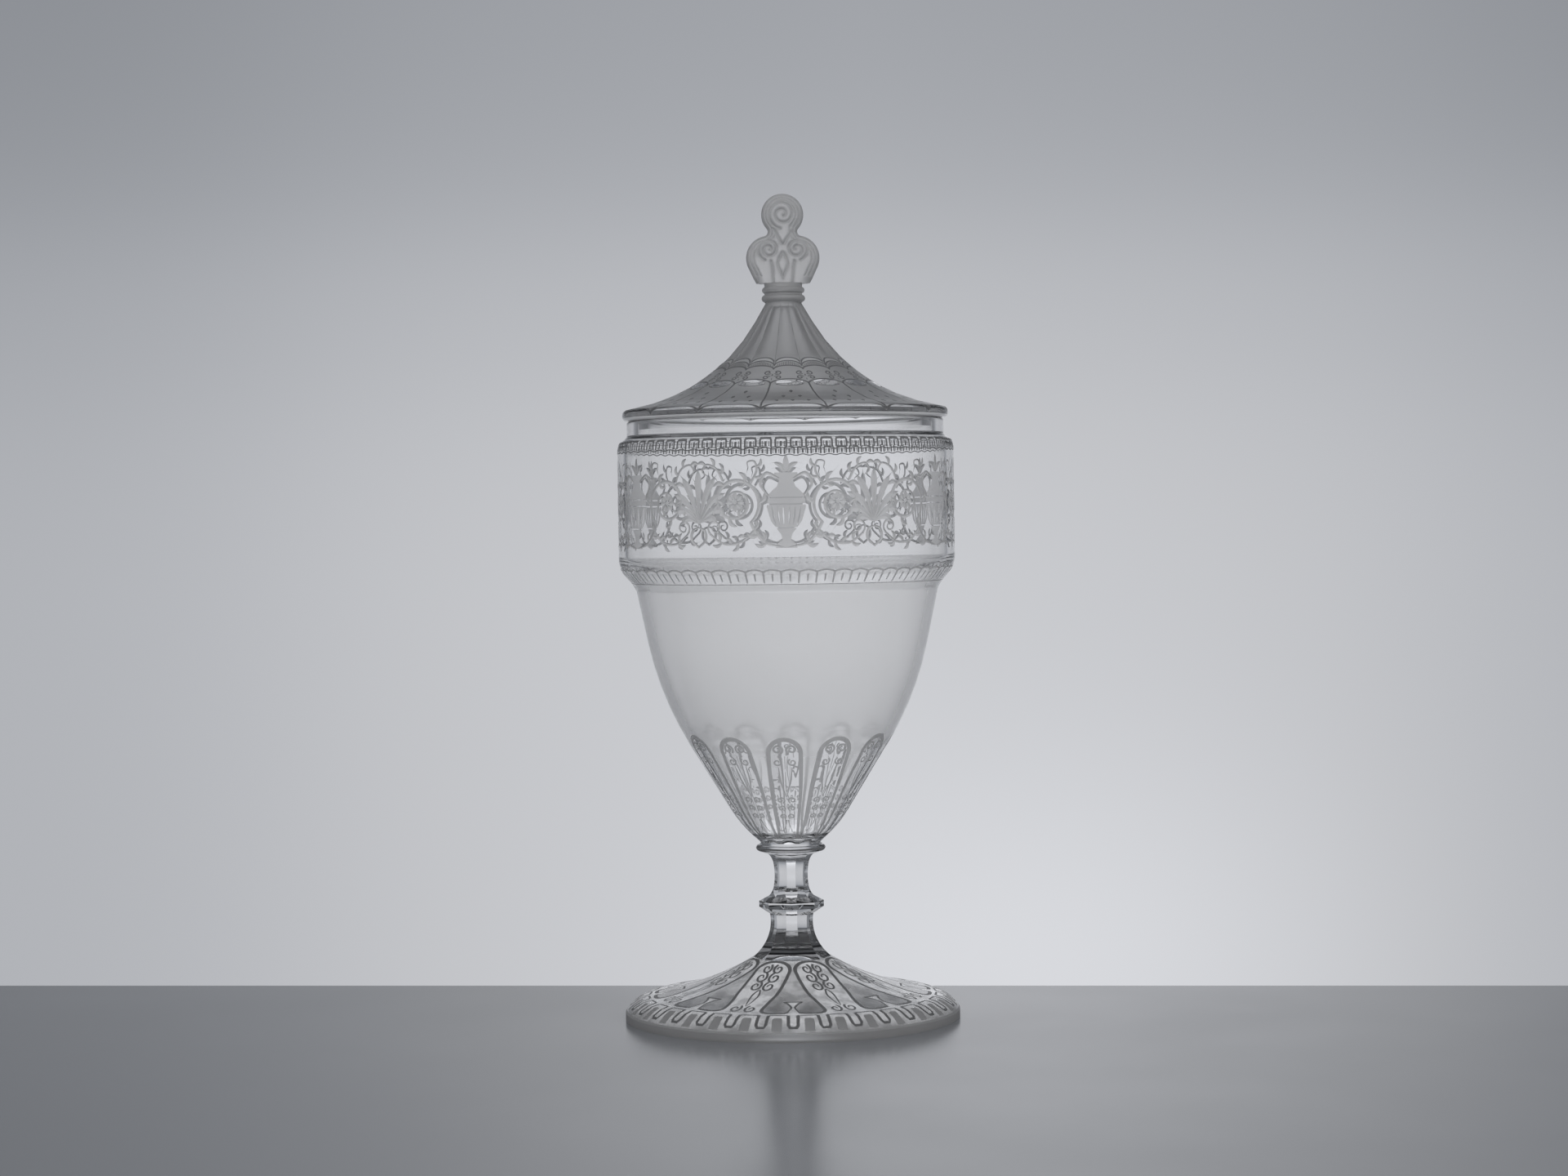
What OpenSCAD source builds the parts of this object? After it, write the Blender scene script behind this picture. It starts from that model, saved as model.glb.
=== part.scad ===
/* [Foot] */
// Diameter of the foot
foot_d = 150; // [130:1:170]
// Height of the foot from the table to its joint with the stem
foot_h = 27; // [24:0.5:30]
// Height of the upright edge
foot_edge_h = 3.4; // [2.5:0.1:4.5]
// Diameter of the crest where the flare ends and the shoulder begins
foot_crest_d = 128.8; // [118:0.2:132]
// Height of the crest
foot_crest_h = 10.2; // [9:0.1:12]
// Radius of the flare's hollow curve
foot_flare_r = 126; // [100:1:160]
// Radius of the shoulder's round curve
foot_shoulder_r = 15; // [12:0.5:20]
// Width of the flat ring that the foot stands on
foot_ring_w = 8.5; // [6:0.5:11]
// Thickness of glass between the hollow underneath and the stem
foot_glass = 6.5; // [5:0.1:8]
// Diameter of the top of the hollow underneath
foot_hollow_d = 18; // [12:0.5:24]

/* [Lower stem] */
// Height of the lower stem
lower_stem_h = 19.3; // [17:0.1:22]
// Width of its waist across the corners
lower_waist_d = 18.9; // [16:0.1:21]
// Height of the waist above the foot
lower_waist_up = 16; // [14:0.1:16.5]
// Radius of the hollow-cut facets
lower_facet_r = 21; // [18:0.5:26]

/* [Knop] */
// Height of the knop
knop_h = 8.1; // [7:0.1:10]
// Width of the knop across the corners
knop_d = 29; // [25:0.2:33]
// Height of the upright band
knop_band_h = 2.7; // [2:0.1:4]
// Height of the slope under the band
knop_low_h = 3.1; // [2:0.1:4]

/* [Upper stem] */
// Height of the upper stem
upper_stem_h = 19.3; // [17:0.1:22]
// Width of its waist across the corners
upper_waist_d = 14.8; // [13:0.1:17]
// Height of the waist above the knop
upper_waist_up = 9.3; // [8:0.1:10.5]
// Radius of the long hollow curve of the facets
upper_facet_r = 31; // [26:0.5:40]
// Radius of the facets' quicker curve at both ends
upper_end_r = 7.5; // [6.5:0.1:9]
// Height of the facets' quicker curve at the foot of the stem
upper_low_h = 3.8; // [3:0.1:5]
// Height of the facets' quicker curve at the top of the stem
upper_top_h = 4.5; // [3.5:0.1:5.5]

/* [Merese] */
// Height of the merese
merese_h = 4.8; // [4:0.1:6]
// Diameter of the merese
merese_d = 31.1; // [29:0.1:34]
// Radius of its round edge
merese_round = 1.5; // [1.2:0.1:1.8]
// Height of the round edge's middle
merese_mid_h = 2.4; // [2:0.1:2.8]
// Width of the flat step round the stem's top
merese_step = 0.8; // [0.4:0.1:1.5]

/* [Bowl] */
// Height of the bowl
bowl_h = 189; // [180:1:200]
// Diameter of the bowl where it stands on the merese
bowl_seat_d = 26.8; // [24:0.1:28]
// Diameter where the round bottom meets the lower cone
bowl_base_d = 45.4; // [42:0.2:50]
// Height where the round bottom meets the lower cone
bowl_base_h = 8.6; // [7:0.1:10]
// Rounding of the bottom
bowl_base_r = 55; // [40:1:60]
// Diameter where the lower and upper cones would meet
bowl_bend_d = 114.6; // [108:0.2:120]
// Height where the lower and upper cones would meet
bowl_bend_h = 65.3; // [60:0.1:70]
// Radius of the round belly between the cones
bowl_bend_r = 145; // [120:1:160]
// Diameter of the upper cone's top
bowl_waist_d = 135; // [130:0.2:138]
// Height of the drum's lower edge above the upper cone's top
bowl_waist_h = 13.1; // [11:0.1:16]
// Diameter of the drum
drum_d = 150.4; // [146:0.2:156]
// Height of the drum's upper edge above its lower edge
drum_low_h = 49.4; // [44:0.2:54]
// Height of the neck's lower end above the drum's upper edge
drum_top_h = 6.2; // [5:0.1:8]
// Diameter of the neck
neck_d = 141.8; // [139:0.2:144]
// Height of the lip above the neck's lower end
neck_low_h = 6.8; // [5:0.1:9]
// Thickness of the bowl's wall
bowl_wall = 3.8; // [3:0.1:4.5]
// Thickness of the neck's wall
neck_wall = 5; // [4:0.1:6]
// Thickness of the bowl's bottom
bowl_bottom = 3.8; // [3:0.1:5]
// Rounding of the lip
lip_round = 1; // [0.5:0.1:1.5]

/* [Lappets of the bowl] */
// Number of lappets cut round the lower cone
lappet_count = 12; // [8:1:14]
// Turn of the first lappet from the front
lappet_turn = -3; // [-15:1:15]
// Length of a lappet along the cone from the round bottom
lappet_len = 44.4; // [38:0.2:48]
// Width of a lappet at its round top
lappet_top_w = 13.4; // [11:0.1:14.5]
// Width of a lappet at the bottom
lappet_low_w = 6.6; // [5:0.1:7.5]
// Depth of a lappet in its middle
lappet_depth = 0.6; // [0.4:0.05:0.8]

/* [Cover] */
// Height of the cover from the lip to the collar
cover_h = 52.5; // [48:0.5:58]
// Diameter of the cover's rim
cover_d = 145.7; // [144.5:0.1:150]
// Height of the rim's edge before rounding
cover_rim_h = 4.7; // [4:0.1:5.5]
// Rounding of the rim
cover_rim_round = 2.2; // [1.5:0.1:2.3]
// Diameter of the cover's top
cover_top_d = 15.9; // [14:0.1:16.4]
// Diameter where the cone and the rim's slope would meet
cover_bend_d = 62; // [58:0.2:66]
// Height where the cone and the rim's slope would meet
cover_bend_h = 14; // [13:0.1:16]
// Radius of the hollow curve between them
cover_bend_r = 80; // [70:1:85]
// Thickness of the cover's wall
cover_wall = 4; // [3:0.1:4.5]
// Height of the hollow inside the cover
cover_hollow_h = 38.5; // [34:0.5:40]
// Depth of the flange that drops into the neck
flange_h = 4; // [3:0.1:6]
// Thickness of the flange
flange_wall = 4; // [3:0.1:5]
// Gap between the flange and the neck
flange_gap = 0.5; // [0.3:0.05:0.8]

/* [Collar of the finial] */
// Height of the collar
collar_h = 8.6; // [8:0.1:10]
// Diameter of the collar's core
collar_core_d = 16.9; // [16.5:0.1:18]
// Diameter of the lower ring
ring_low_d = 19.5; // [18.6:0.1:21]
// Radius of the lower ring's round edge
ring_low_r = 1.6; // [1.4:0.1:1.8]
// Height of the lower ring's middle
ring_low_h = 1.8; // [1.8:0.05:2.2]
// Diameter of the upper ring
ring_top_d = 19; // [18.4:0.1:20.5]
// Radius of the upper ring's round edge
ring_top_r = 1.4; // [1.2:0.1:1.6]
// Height of the upper ring's middle
ring_top_h = 5.5; // [5.4:0.1:6.2]

/* [Finial] */
// Height of the finial
finial_h = 40; // [36:0.2:44]
// Thickness of the finial
finial_t = 10; // [8:0.1:12]
// Radius of its top lobe
lobe_top_r = 9.4; // [8.6:0.1:10]
// Radius of its lower lobes
lobe_low_r = 10; // [9:0.1:11]
// Width over the lower lobes
lobe_low_w = 32.8; // [30:0.2:36]
// Height of the lower lobes' middle
lobe_low_h = 11.3; // [11:0.1:12.5]
// Width of the neck between the lobes
finial_neck_w = 16.4; // [15:0.1:17.5]
// Width of the finial's base
finial_base_w = 24.6; // [22:0.2:26]
// Rounding of its edges
finial_round = 3; // [2:0.1:3.5]
// Width of the carved grooves
groove_w = 1.2; // [0.8:0.1:1.5]
// Depth of the carved grooves
groove_depth = 0.9; // [0.5:0.1:1.3]
// Radius at which a volute starts
volute_eye = 1.5; // [1:0.1:2]
// Distance between two turns of a volute
volute_pitch = 2.7; // [2.4:0.1:3]
// Distance of the lower volutes from the middle
volute_x = 6.4; // [6:0.1:7]
// Height of the lower volutes
volute_h = 14.6; // [14:0.1:15.5]
// Length of the almond between their stems
almond_len = 9; // [7:0.2:10]
// Width of the almond
almond_w = 3; // [2.4:0.1:3.6]
// Height of the almond's middle
almond_h = 7; // [6.6:0.1:7.6]
// Distance of the volutes' stems from the middle
stem_x = 4.4; // [4:0.1:5]

/* [Hidden] */
$fn = 180;
// Octagon with a corner to the front
stem_sides = 8;
// From a corner's distance to a face's distance
flat = cos(180 / stem_sides);
// Reach of a cutting body past what it cuts
past = 5;
// Overlap of a rounding with the outline that it rounds
spare = 0.5;
// Azimuth of the front
front = -90;
// Points in one turn of a volute
spiral_steps = 24;
// Turns of the volutes, and the angle at which each starts at its eye
volute_top_turns = 1.6;
volute_top_start = -60;
volute_low_turns = 1.25;
volute_low_start = 240;

// Seats of the pieces, one on the other
lower_stem_z = foot_h;
knop_z = lower_stem_z + lower_stem_h;
upper_stem_z = knop_z + knop_h;
merese_z = upper_stem_z + upper_stem_h;
bowl_z = merese_z + merese_h;
cover_z = bowl_z + bowl_h;
collar_z = cover_z + cover_h;
finial_z = collar_z + collar_h;

// Distance from the axis of a facet hollowed by a circle, at a height above its waist
function hollow_at(waist, r, h) = waist + r - sqrt(r * r - h * h);
lower_waist = lower_waist_d / 2 * flat;
lower_end = hollow_at(lower_waist, lower_facet_r, lower_waist_up);
lower_top = hollow_at(lower_waist, lower_facet_r, lower_stem_h - lower_waist_up);
upper_waist = upper_waist_d / 2 * flat;
// Heights under and over the waist where the long curve stops
upper_long = [upper_waist_up - upper_low_h, upper_stem_h - upper_waist_up - upper_top_h];
// Centre of an end curve, which touches the long curve where that one stops
function upper_end(long) = let (turn = asin(long / upper_facet_r), r = upper_facet_r - upper_end_r)
    [upper_waist + upper_facet_r - r * cos(turn), r * sin(turn)];
function upper_at(long, h) = let (c = upper_end(long)) c.x - sqrt(upper_end_r * upper_end_r - pow(h - c.y, 2));
upper_low = upper_at(upper_long[0], upper_waist_up);
upper_top = upper_at(upper_long[1], upper_stem_h - upper_waist_up);

function unit(v) = v / norm(v);
function right_of(v) = [v.y, -v.x];
// Point of the line a-b at height z
function at_height(a, b, z) = a + (b - a) * (z - a.y) / (b.y - a.y);
// Point of the line a-b at distance x from the axis
function at_radius(a, b, x) = a + (b - a) * (x - a.x) / (b.x - a.x);
// Corner v of the outline a-v-b moved in by the wall t
function inset(a, v, b, t) =
    let (na = right_of(unit(a - v)), nb = right_of(unit(v - b)), n = unit(na + nb)) v + n * t / (n * na);

// What lies between a corner v of the outline a-v-b and the arc that rounds it, and a little beyond the corner
module corner(a, v, b, r) {
    ua = unit(a - v);
    ub = unit(b - v);
    half = acos(ua * ub) / 2;
    reach = r / tan(half);
    in = unit(ua + ub);
    c = v + in * r / sin(half);
    difference() {
        polygon([v - in * spare, v + ua * reach, c, v + ub * reach]);
        translate(c) circle(r);
    }
}

// Circle segment between the chord a-b and an arc of radius r on the chord's right
module segment(a, b, r) {
    n = right_of(unit(b - a));
    c = (a + b) / 2 - n * sqrt(r * r - pow(norm(b - a) / 2, 2));
    intersection() {
        translate(c) circle(r);
        polygon([a, b, b + n * r, a + n * r]);
    }
}

// Body with an even number of flat sides, each following the outline children(0), and a corner at the turn
module faceted(sides, reach, turn = front) {
    intersection_for (i = [0 : sides / 2 - 1])
        rotate([90, 0, turn + (i + 0.5) * 360 / sides])
            translate([0, 0, -reach]) linear_extrude(2 * reach) children(0);
}

// Bell-shaped foot, hollow underneath
module foot() {
    r = foot_d / 2;
    neck = [lower_end / flat, foot_h];
    crest = [foot_crest_d / 2, foot_crest_h];
    edge = [r, foot_edge_h];
    ring = [r - foot_ring_w, 0];
    cap = [foot_hollow_d / 2, foot_h - foot_glass];
    hollow_r = foot_flare_r + foot_glass;
    slope = atan2(cap.y, ring.x - cap.x) + asin(norm(ring - cap) / 2 / hollow_r);
    cap_r = cap.x / sin(slope);
    color([0.88, 0.89, 0.91, 0.6])
    rotate_extrude() difference() {
        union() {
            difference() {
                polygon([[0, 0], [r, 0], edge, crest, neck, [0, foot_h]]);
                segment(neck, crest, foot_flare_r);
            }
            segment(edge, crest, foot_shoulder_r);
        }
        difference() {
            polygon([[0, 0], ring, cap, [0, cap.y]]);
            segment(cap, ring, hollow_r);
        }
        intersection() {
            translate([0, cap.y - cap_r * cos(slope)]) circle(cap_r);
            translate([0, cap.y - spare]) square([cap.x, foot_glass]);
        }
    }
}

// Octagonal stem under the knop, its facets cut hollow and flaring into the foot
module lower_stem() {
    color([0.9, 0.91, 0.93, 0.6])
    translate([0, 0, lower_stem_z]) faceted(stem_sides, 2 * lower_end) difference() {
        translate([-lower_end, 0]) square([2 * lower_end, lower_stem_h]);
        for (side = [-1, 1])
            translate([side * (lower_waist + lower_facet_r), lower_waist_up]) circle(lower_facet_r);
    }
}

// Octagonal knop with an upright band between two slopes
module knop() {
    r = knop_d / 2 * flat;
    half = [[lower_top, 0], [r, knop_low_h], [r, knop_low_h + knop_band_h], [upper_low, knop_h]];
    color([0.9, 0.91, 0.93, 0.6])
    translate([0, 0, knop_z]) faceted(stem_sides, knop_d)
        polygon([for (p = half) p, for (i = [len(half) - 1 : -1 : 0]) [-half[i].x, half[i].y]]);
}

// Octagonal stem over the knop, a long waist that spreads quickly at both ends
module upper_stem() {
    r = max(upper_low, upper_top);
    color([0.9, 0.91, 0.93, 0.6])
    translate([0, 0, upper_stem_z]) faceted(stem_sides, 2 * r) difference() {
        translate([-r, 0]) square([2 * r, upper_stem_h]);
        for (side = [0, 1]) mirror([side, 0]) translate([0, upper_waist_up]) {
            intersection() {
                translate([upper_waist + upper_facet_r, 0]) circle(upper_facet_r);
                translate([0, -upper_long[0]]) square([upper_end(upper_long[0]).x, upper_long[0] + upper_long[1]]);
            }
            for (end = [0, 1]) mirror([0, 1 - end]) translate(upper_end(upper_long[end])) circle(upper_end_r);
        }
    }
}

// Flat round bead between the stem and the bowl
module merese() {
    edge = [merese_d / 2 - merese_round, merese_mid_h];
    low = [upper_top / flat + merese_step, 0];
    seat = [bowl_seat_d / 2, merese_h];
    color([0.9, 0.91, 0.93, 0.6])
    translate([0, 0, merese_z]) rotate_extrude() {
        polygon([[0, 0], low, edge - [0, merese_round], edge + [0, merese_round], seat, [0, merese_h]]);
        translate(edge) circle(merese_round);
    }
}

// Outline of the bowl from its seat to its lip
bowl_seat = [bowl_seat_d / 2, 0];
bowl_base = [bowl_base_d / 2, bowl_base_h];
bowl_bend = [bowl_bend_d / 2, bowl_bend_h];
drum_r = drum_d / 2;
neck_r = neck_d / 2;
neck_in_r = neck_r - neck_wall;
neck_low = [neck_r, bowl_h - neck_low_h];
drum_top = [drum_r, neck_low.y - drum_top_h];
drum_low = drum_top - [0, drum_low_h];
bowl_waist = [bowl_waist_d / 2, drum_low.y - bowl_waist_h];
// Ovolo under the drum: its lower edge and the corner that is rounded
ovolo_step = 1.9;
ovolo_rise = 3.2;
ovolo_in = 1;
ovolo_drop = 4.4;
ovolo_low = bowl_waist + [ovolo_step, ovolo_rise];
ovolo_corner = drum_low - [ovolo_in, ovolo_drop];
ovolo_r = 9;
// Shoulder over the drum: the corner that is rounded and its upper edge
shoulder_in = 0.6;
shoulder_rise = 3.2;
shoulder_chamfer = 1.3;
shoulder_corner = drum_top + [-shoulder_in, shoulder_rise];
shoulder_top = neck_low + [shoulder_chamfer, -shoulder_chamfer];
shoulder_r = 2.5;
// Cove where the shoulder meets the neck
neck_cove = 1;

// Solid form of the bowl's outside
module bowl_outside() {
    lip = [neck_r, bowl_h];
    difference() {
        polygon([[0, 0], bowl_seat, bowl_base, bowl_bend, bowl_waist, ovolo_low, ovolo_corner, drum_low,
            drum_top, shoulder_corner, shoulder_top, neck_low, lip, [0, bowl_h]]);
        corner(bowl_seat, bowl_base, bowl_bend, bowl_base_r);
        corner(bowl_base, bowl_bend, bowl_waist, bowl_bend_r);
        corner(ovolo_low, ovolo_corner, drum_low, ovolo_r);
        corner(drum_top, shoulder_corner, shoulder_top, shoulder_r);
        corner(neck_low, lip, [0, bowl_h], lip_round);
    }
    corner(bowl_bend, bowl_waist, ovolo_low, 2 * ovolo_step);
    corner(shoulder_top, neck_low, lip, neck_cove);
}

// Form of the bowl's inside, which keeps the wall's thickness
module bowl_inside() {
    bend = inset(bowl_base, bowl_bend, bowl_waist, bowl_wall);
    base = inset(bowl_seat, bowl_base, bowl_bend, bowl_wall);
    waist = inset(bowl_bend, bowl_waist, ovolo_low, bowl_wall);
    floor_edge = at_height(base, bend, bowl_bottom);
    low = drum_low - [bowl_wall, 0];
    top = drum_top - [bowl_wall, bowl_wall];
    neck_foot = [neck_in_r, neck_low.y - bowl_wall / 2];
    lip = [neck_in_r, bowl_h];
    difference() {
        polygon([[0, bowl_bottom], floor_edge, bend, waist, low, top, neck_foot, lip, [0, bowl_h]]);
        corner([0, bowl_bottom], floor_edge, bend, 2 * bowl_wall);
        corner(floor_edge, bend, waist, bowl_bend_r - bowl_wall);
        corner(low, top, neck_foot, bowl_wall);
    }
    corner(bend, waist, low, bowl_wall);
    corner(top, neck_foot, lip, bowl_wall);
    polygon([[neck_in_r, bowl_h - lip_round], [neck_in_r + lip_round, bowl_h], [neck_in_r, bowl_h]]);
}

// Round-topped flat panel that each lappet is cut to, lying along the lower cone
module lappet() {
    lean = atan2(bowl_bend.x - bowl_base.x, bowl_bend.y - bowl_base.y);
    top = lappet_len - lappet_top_w / 2;
    translate([bowl_base.x, 0, bowl_base.y]) rotate([0, 90 + lean, 0]) translate([0, 0, -lappet_depth])
        linear_extrude(past) union() {
            translate([-top, 0]) circle(d = lappet_top_w);
            polygon([[-top, -lappet_top_w / 2], [-top, lappet_top_w / 2],
                [0, lappet_low_w / 2], [0, -lappet_low_w / 2]]);
        }
}

// Drum-shaped bowl over a round belly and a cone of cut lappets
module bowl() {
    color([0.9, 0.91, 0.93, 0.5])
    translate([0, 0, bowl_z]) difference() {
        rotate_extrude() difference() {
            bowl_outside();
            bowl_inside();
        }
        for (i = [0 : lappet_count - 1]) rotate([0, 0, front + lappet_turn + i * 360 / lappet_count]) lappet();
    }
}

// Outline of the cover from its top to the rim
cover_r = cover_d / 2;
cover_top = [cover_top_d / 2, cover_h];
cover_bend = [cover_bend_d / 2, cover_bend_h];
cover_rim = [cover_r, cover_rim_h];
flange_r = neck_in_r - flange_gap;
flange_in_r = flange_r - flange_wall;

// Half outline of the cover's outside
module cover_outside() {
    rim_low = [cover_r, 0];
    difference() {
        polygon([[0, 0], rim_low, cover_rim, cover_bend, cover_top, [0, cover_h]]);
        corner(rim_low, cover_rim, cover_bend, cover_rim_round);
        corner([0, 0], rim_low, cover_rim, cover_rim_round);
    }
    corner(cover_rim, cover_bend, cover_top, cover_bend_r);
    translate([0, -flange_h]) square([flange_r, flange_h + spare]);
}

// Half outline of the hollow in the cover
module cover_inside() {
    bend = inset(cover_rim, cover_bend, cover_top, cover_wall);
    rim = at_radius(bend, bend + cover_rim - cover_bend, flange_in_r);
    cap = at_height(bend, bend + cover_top - cover_bend, cover_hollow_h);
    difference() {
        polygon([[0, -flange_h], [flange_in_r, -flange_h], rim, bend, cap, [0, cover_hollow_h]]);
        corner(bend, cap, [0, cover_hollow_h], cap.x / 2);
        corner([flange_in_r, -flange_h], rim, bend, cover_wall / 2);
    }
    corner(rim, bend, cap, cover_bend_r + cover_wall);
}

// Tent-shaped cover with a round rim and a flange that drops into the neck
module cover() {
    color([0.84, 0.85, 0.87, 0.7])
    translate([0, 0, cover_z]) rotate_extrude() difference() {
        cover_outside();
        cover_inside();
    }
}

// Turned collar with two round rings
module collar() {
    color([0.8, 0.81, 0.83, 0.8])
    translate([0, 0, collar_z]) rotate_extrude() {
        square([collar_core_d / 2, collar_h]);
        translate([ring_low_d / 2 - ring_low_r, ring_low_h]) circle(ring_low_r);
        translate([ring_top_d / 2 - ring_top_r, ring_top_h]) circle(ring_top_r);
    }
}

// Round lobe of the finial, a disc with a rounded edge
module lobe(r) {
    rotate([90, 0, 0]) rotate_extrude() {
        translate([0, -finial_t / 2]) square([r - finial_round, finial_t]);
        translate([0, finial_round - finial_t / 2]) square([r, finial_t - 2 * finial_round]);
        for (face = [-1, 1]) translate([r - finial_round, face * (finial_t / 2 - finial_round)]) circle(finial_round);
    }
}

// Groove along a spiral that starts at its eye and opens by a pitch for each turn
module spiral_groove(eye, pitch, turns, start) {
    steps = ceil(turns * spiral_steps);
    function at(i, side) = let (a = start + 360 * turns * i / steps)
        (eye + pitch * turns * i / steps + side * groove_w / 2) * [cos(a), sin(a)];
    polygon([for (i = [0 : steps]) at(i, 1), for (i = [steps : -1 : 0]) at(i, -1)]);
}

// Pointed almond between two round sides
module almond(h, w) {
    r = (h * h + w * w) / (4 * w);
    intersection_for (side = [-1, 1]) translate([side * (r - w / 2), 0]) circle(r);
}

// Volutes carved into both faces: one in the top lobe, a pair under it and an almond between their stems
module volutes() {
    translate([0, finial_h - lobe_top_r]) spiral_groove(volute_eye, volute_pitch, volute_top_turns, volute_top_start);
    for (side = [0, 1]) mirror([side, 0]) {
        translate([volute_x, volute_h])
            spiral_groove(volute_eye, volute_pitch, volute_low_turns, volute_low_start);
        polygon([[stem_x, almond_h], [stem_x + groove_w, almond_h], [stem_x + groove_w, 0], [stem_x, 0]]);
    }
    translate([0, almond_h]) difference() {
        almond(almond_len + 2 * groove_w, almond_w + 2 * groove_w);
        almond(almond_len, almond_w);
    }
}

// Flat finial of three lobes carved with volutes
module finial() {
    lobe_x = lobe_low_w / 2 - lobe_low_r;
    lobe_top_h = finial_h - lobe_top_r;
    web_t = finial_t - 2 * groove_depth;
    color([0.86, 0.87, 0.89, 0.8])
    translate([0, 0, finial_z]) difference() {
        union() {
            translate([0, 0, lobe_top_h]) lobe(lobe_top_r);
            for (side = [-1, 1]) translate([side * lobe_x, 0, lobe_low_h]) lobe(lobe_low_r);
            translate([0, web_t / 2, 0]) rotate([90, 0, 0]) linear_extrude(web_t) {
                polygon([[-finial_base_w / 2, 0], [finial_base_w / 2, 0],
                    [lobe_x, lobe_low_h], [-lobe_x, lobe_low_h]]);
                translate([-finial_neck_w / 2, lobe_low_h])
                    square([finial_neck_w, lobe_top_h - lobe_top_r / 2 - lobe_low_h]);
            }
        }
        for (face = [0, 1]) mirror([0, face, 0]) translate([0, -finial_t / 2 + groove_depth, 0])
            rotate([90, 0, 0]) linear_extrude(groove_depth + past) volutes();
    }
}

foot();
lower_stem();
knop();
upper_stem();
merese();
bowl();
cover();
collar();
finial();
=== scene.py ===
import bisect
import math

import bpy
import numpy as np
from mathutils import Matrix, Vector
from mathutils.geometry import delaunay_2d_cdt, tessellate_polygon


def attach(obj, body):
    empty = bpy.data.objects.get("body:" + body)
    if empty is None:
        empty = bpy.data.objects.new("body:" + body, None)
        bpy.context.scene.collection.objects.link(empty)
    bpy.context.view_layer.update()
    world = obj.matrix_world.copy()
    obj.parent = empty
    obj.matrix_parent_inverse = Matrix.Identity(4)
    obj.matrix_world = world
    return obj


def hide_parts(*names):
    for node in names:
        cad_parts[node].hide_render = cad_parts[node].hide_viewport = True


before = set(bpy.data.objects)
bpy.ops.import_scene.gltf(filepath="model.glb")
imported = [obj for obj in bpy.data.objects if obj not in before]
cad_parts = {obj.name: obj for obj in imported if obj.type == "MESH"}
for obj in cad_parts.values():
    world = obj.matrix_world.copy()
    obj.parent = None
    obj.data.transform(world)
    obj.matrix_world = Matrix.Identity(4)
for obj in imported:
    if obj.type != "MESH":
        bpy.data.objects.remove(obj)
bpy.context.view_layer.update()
print("frame loaded with", len(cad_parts), "nodes")

mm = 0.001


# camera as the photograph was taken, sizes in mm and degrees
photoView = {
    "lens": 73.54, "sensor": 36.0, "far": 100,
    "place": (-1.46, -1435.0, 224.0), "tiltDown": 1.262, "roll": -0.78,
}


def placeCamera(view):
    bpy.ops.object.camera_add()
    camera = bpy.context.object
    camera.name = "photoCamera"
    camera.data.lens = view["lens"]
    camera.data.sensor_width = view["sensor"]
    camera.data.clip_end = view["far"]
    look = Matrix.Rotation(math.radians(90 - view["tiltDown"]), 4, "X")
    roll = Matrix.Rotation(math.radians(view["roll"]), 4, "Z")
    camera.matrix_world = Matrix.Translation(Vector(view["place"]) * mm) @ look @ roll
    bpy.context.scene.camera = camera


placeCamera(photoView)
print("camera placed")


# node helpers
def addNode(tree, kind, values=None, **settings):
    node = tree.nodes.new(kind)
    for name, value in settings.items():
        setattr(node, name, value)
    for socket, value in (values or {}).items():
        node.inputs[socket].default_value = value
    return node


def plug(tree, value, socket):
    # links an output, or sets a plain value
    if isinstance(value, bpy.types.NodeSocket):
        tree.links.new(value, socket)
    elif value is not None:
        socket.default_value = value


def mathNode(tree, operation, first, second=None):
    node = addNode(tree, "ShaderNodeMath", operation=operation)
    plug(tree, first, node.inputs[0])
    plug(tree, second, node.inputs[1])
    return node.outputs[0]


def rangeNode(tree, value, low, high, toLow, toHigh, smooth=False):
    node = addNode(tree, "ShaderNodeMapRange", {1: low, 2: high, 3: toLow, 4: toHigh})
    node.interpolation_type = "SMOOTHSTEP" if smooth else "LINEAR"
    tree.links.new(value, node.inputs[0])
    return node.outputs[0]


def mixNode(tree, share, first, second, kind="RGBA"):
    node = addNode(tree, "ShaderNodeMix", data_type=kind)
    start, result = (6, 2) if kind == "RGBA" else (2, 0)
    for place, value in ((0, share), (start, first), (start + 1, second)):
        plug(tree, value, node.inputs[place])
    return node.outputs[result]


def curveNode(tree, value, low, high, marks):
    # tone along a value through the given marks
    node = addNode(tree, "ShaderNodeFloatCurve")
    points = node.mapping.curves[0].points
    while len(points) < len(marks):
        points.new(0.5, 0.5)
    for point, (place, tone) in zip(points, marks):
        point.location = ((place - low) / (high - low), tone)
        point.handle_type = "AUTO_CLAMPED"
    node.mapping.update()
    tree.links.new(rangeNode(tree, value, low, high, 0, 1), node.inputs["Value"])
    return node.outputs[0]


def objectNoise(tree, scale, detail):
    # noise that stays with the piece
    noise = addNode(tree, "ShaderNodeTexNoise", {"Detail": detail})
    plug(tree, tree.nodes.new("ShaderNodeTexCoord").outputs["Object"], noise.inputs["Vector"])
    plug(tree, scale, noise.inputs["Scale"])
    return noise.outputs["Fac"]


def objectHeight(tree):
    parts = tree.nodes.new("ShaderNodeSeparateXYZ")
    plug(tree, tree.nodes.new("ShaderNodeTexCoord").outputs["Object"], parts.inputs[0])
    return parts.outputs[2]


# fine grain of ground glass, shared by all finishes but the blown ones
grainLook = {"cloud": 60.0, "cloudDetail": 3.0, "cloudSpan": (0.3, 0.7), "grainDetail": 1.0}


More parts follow.
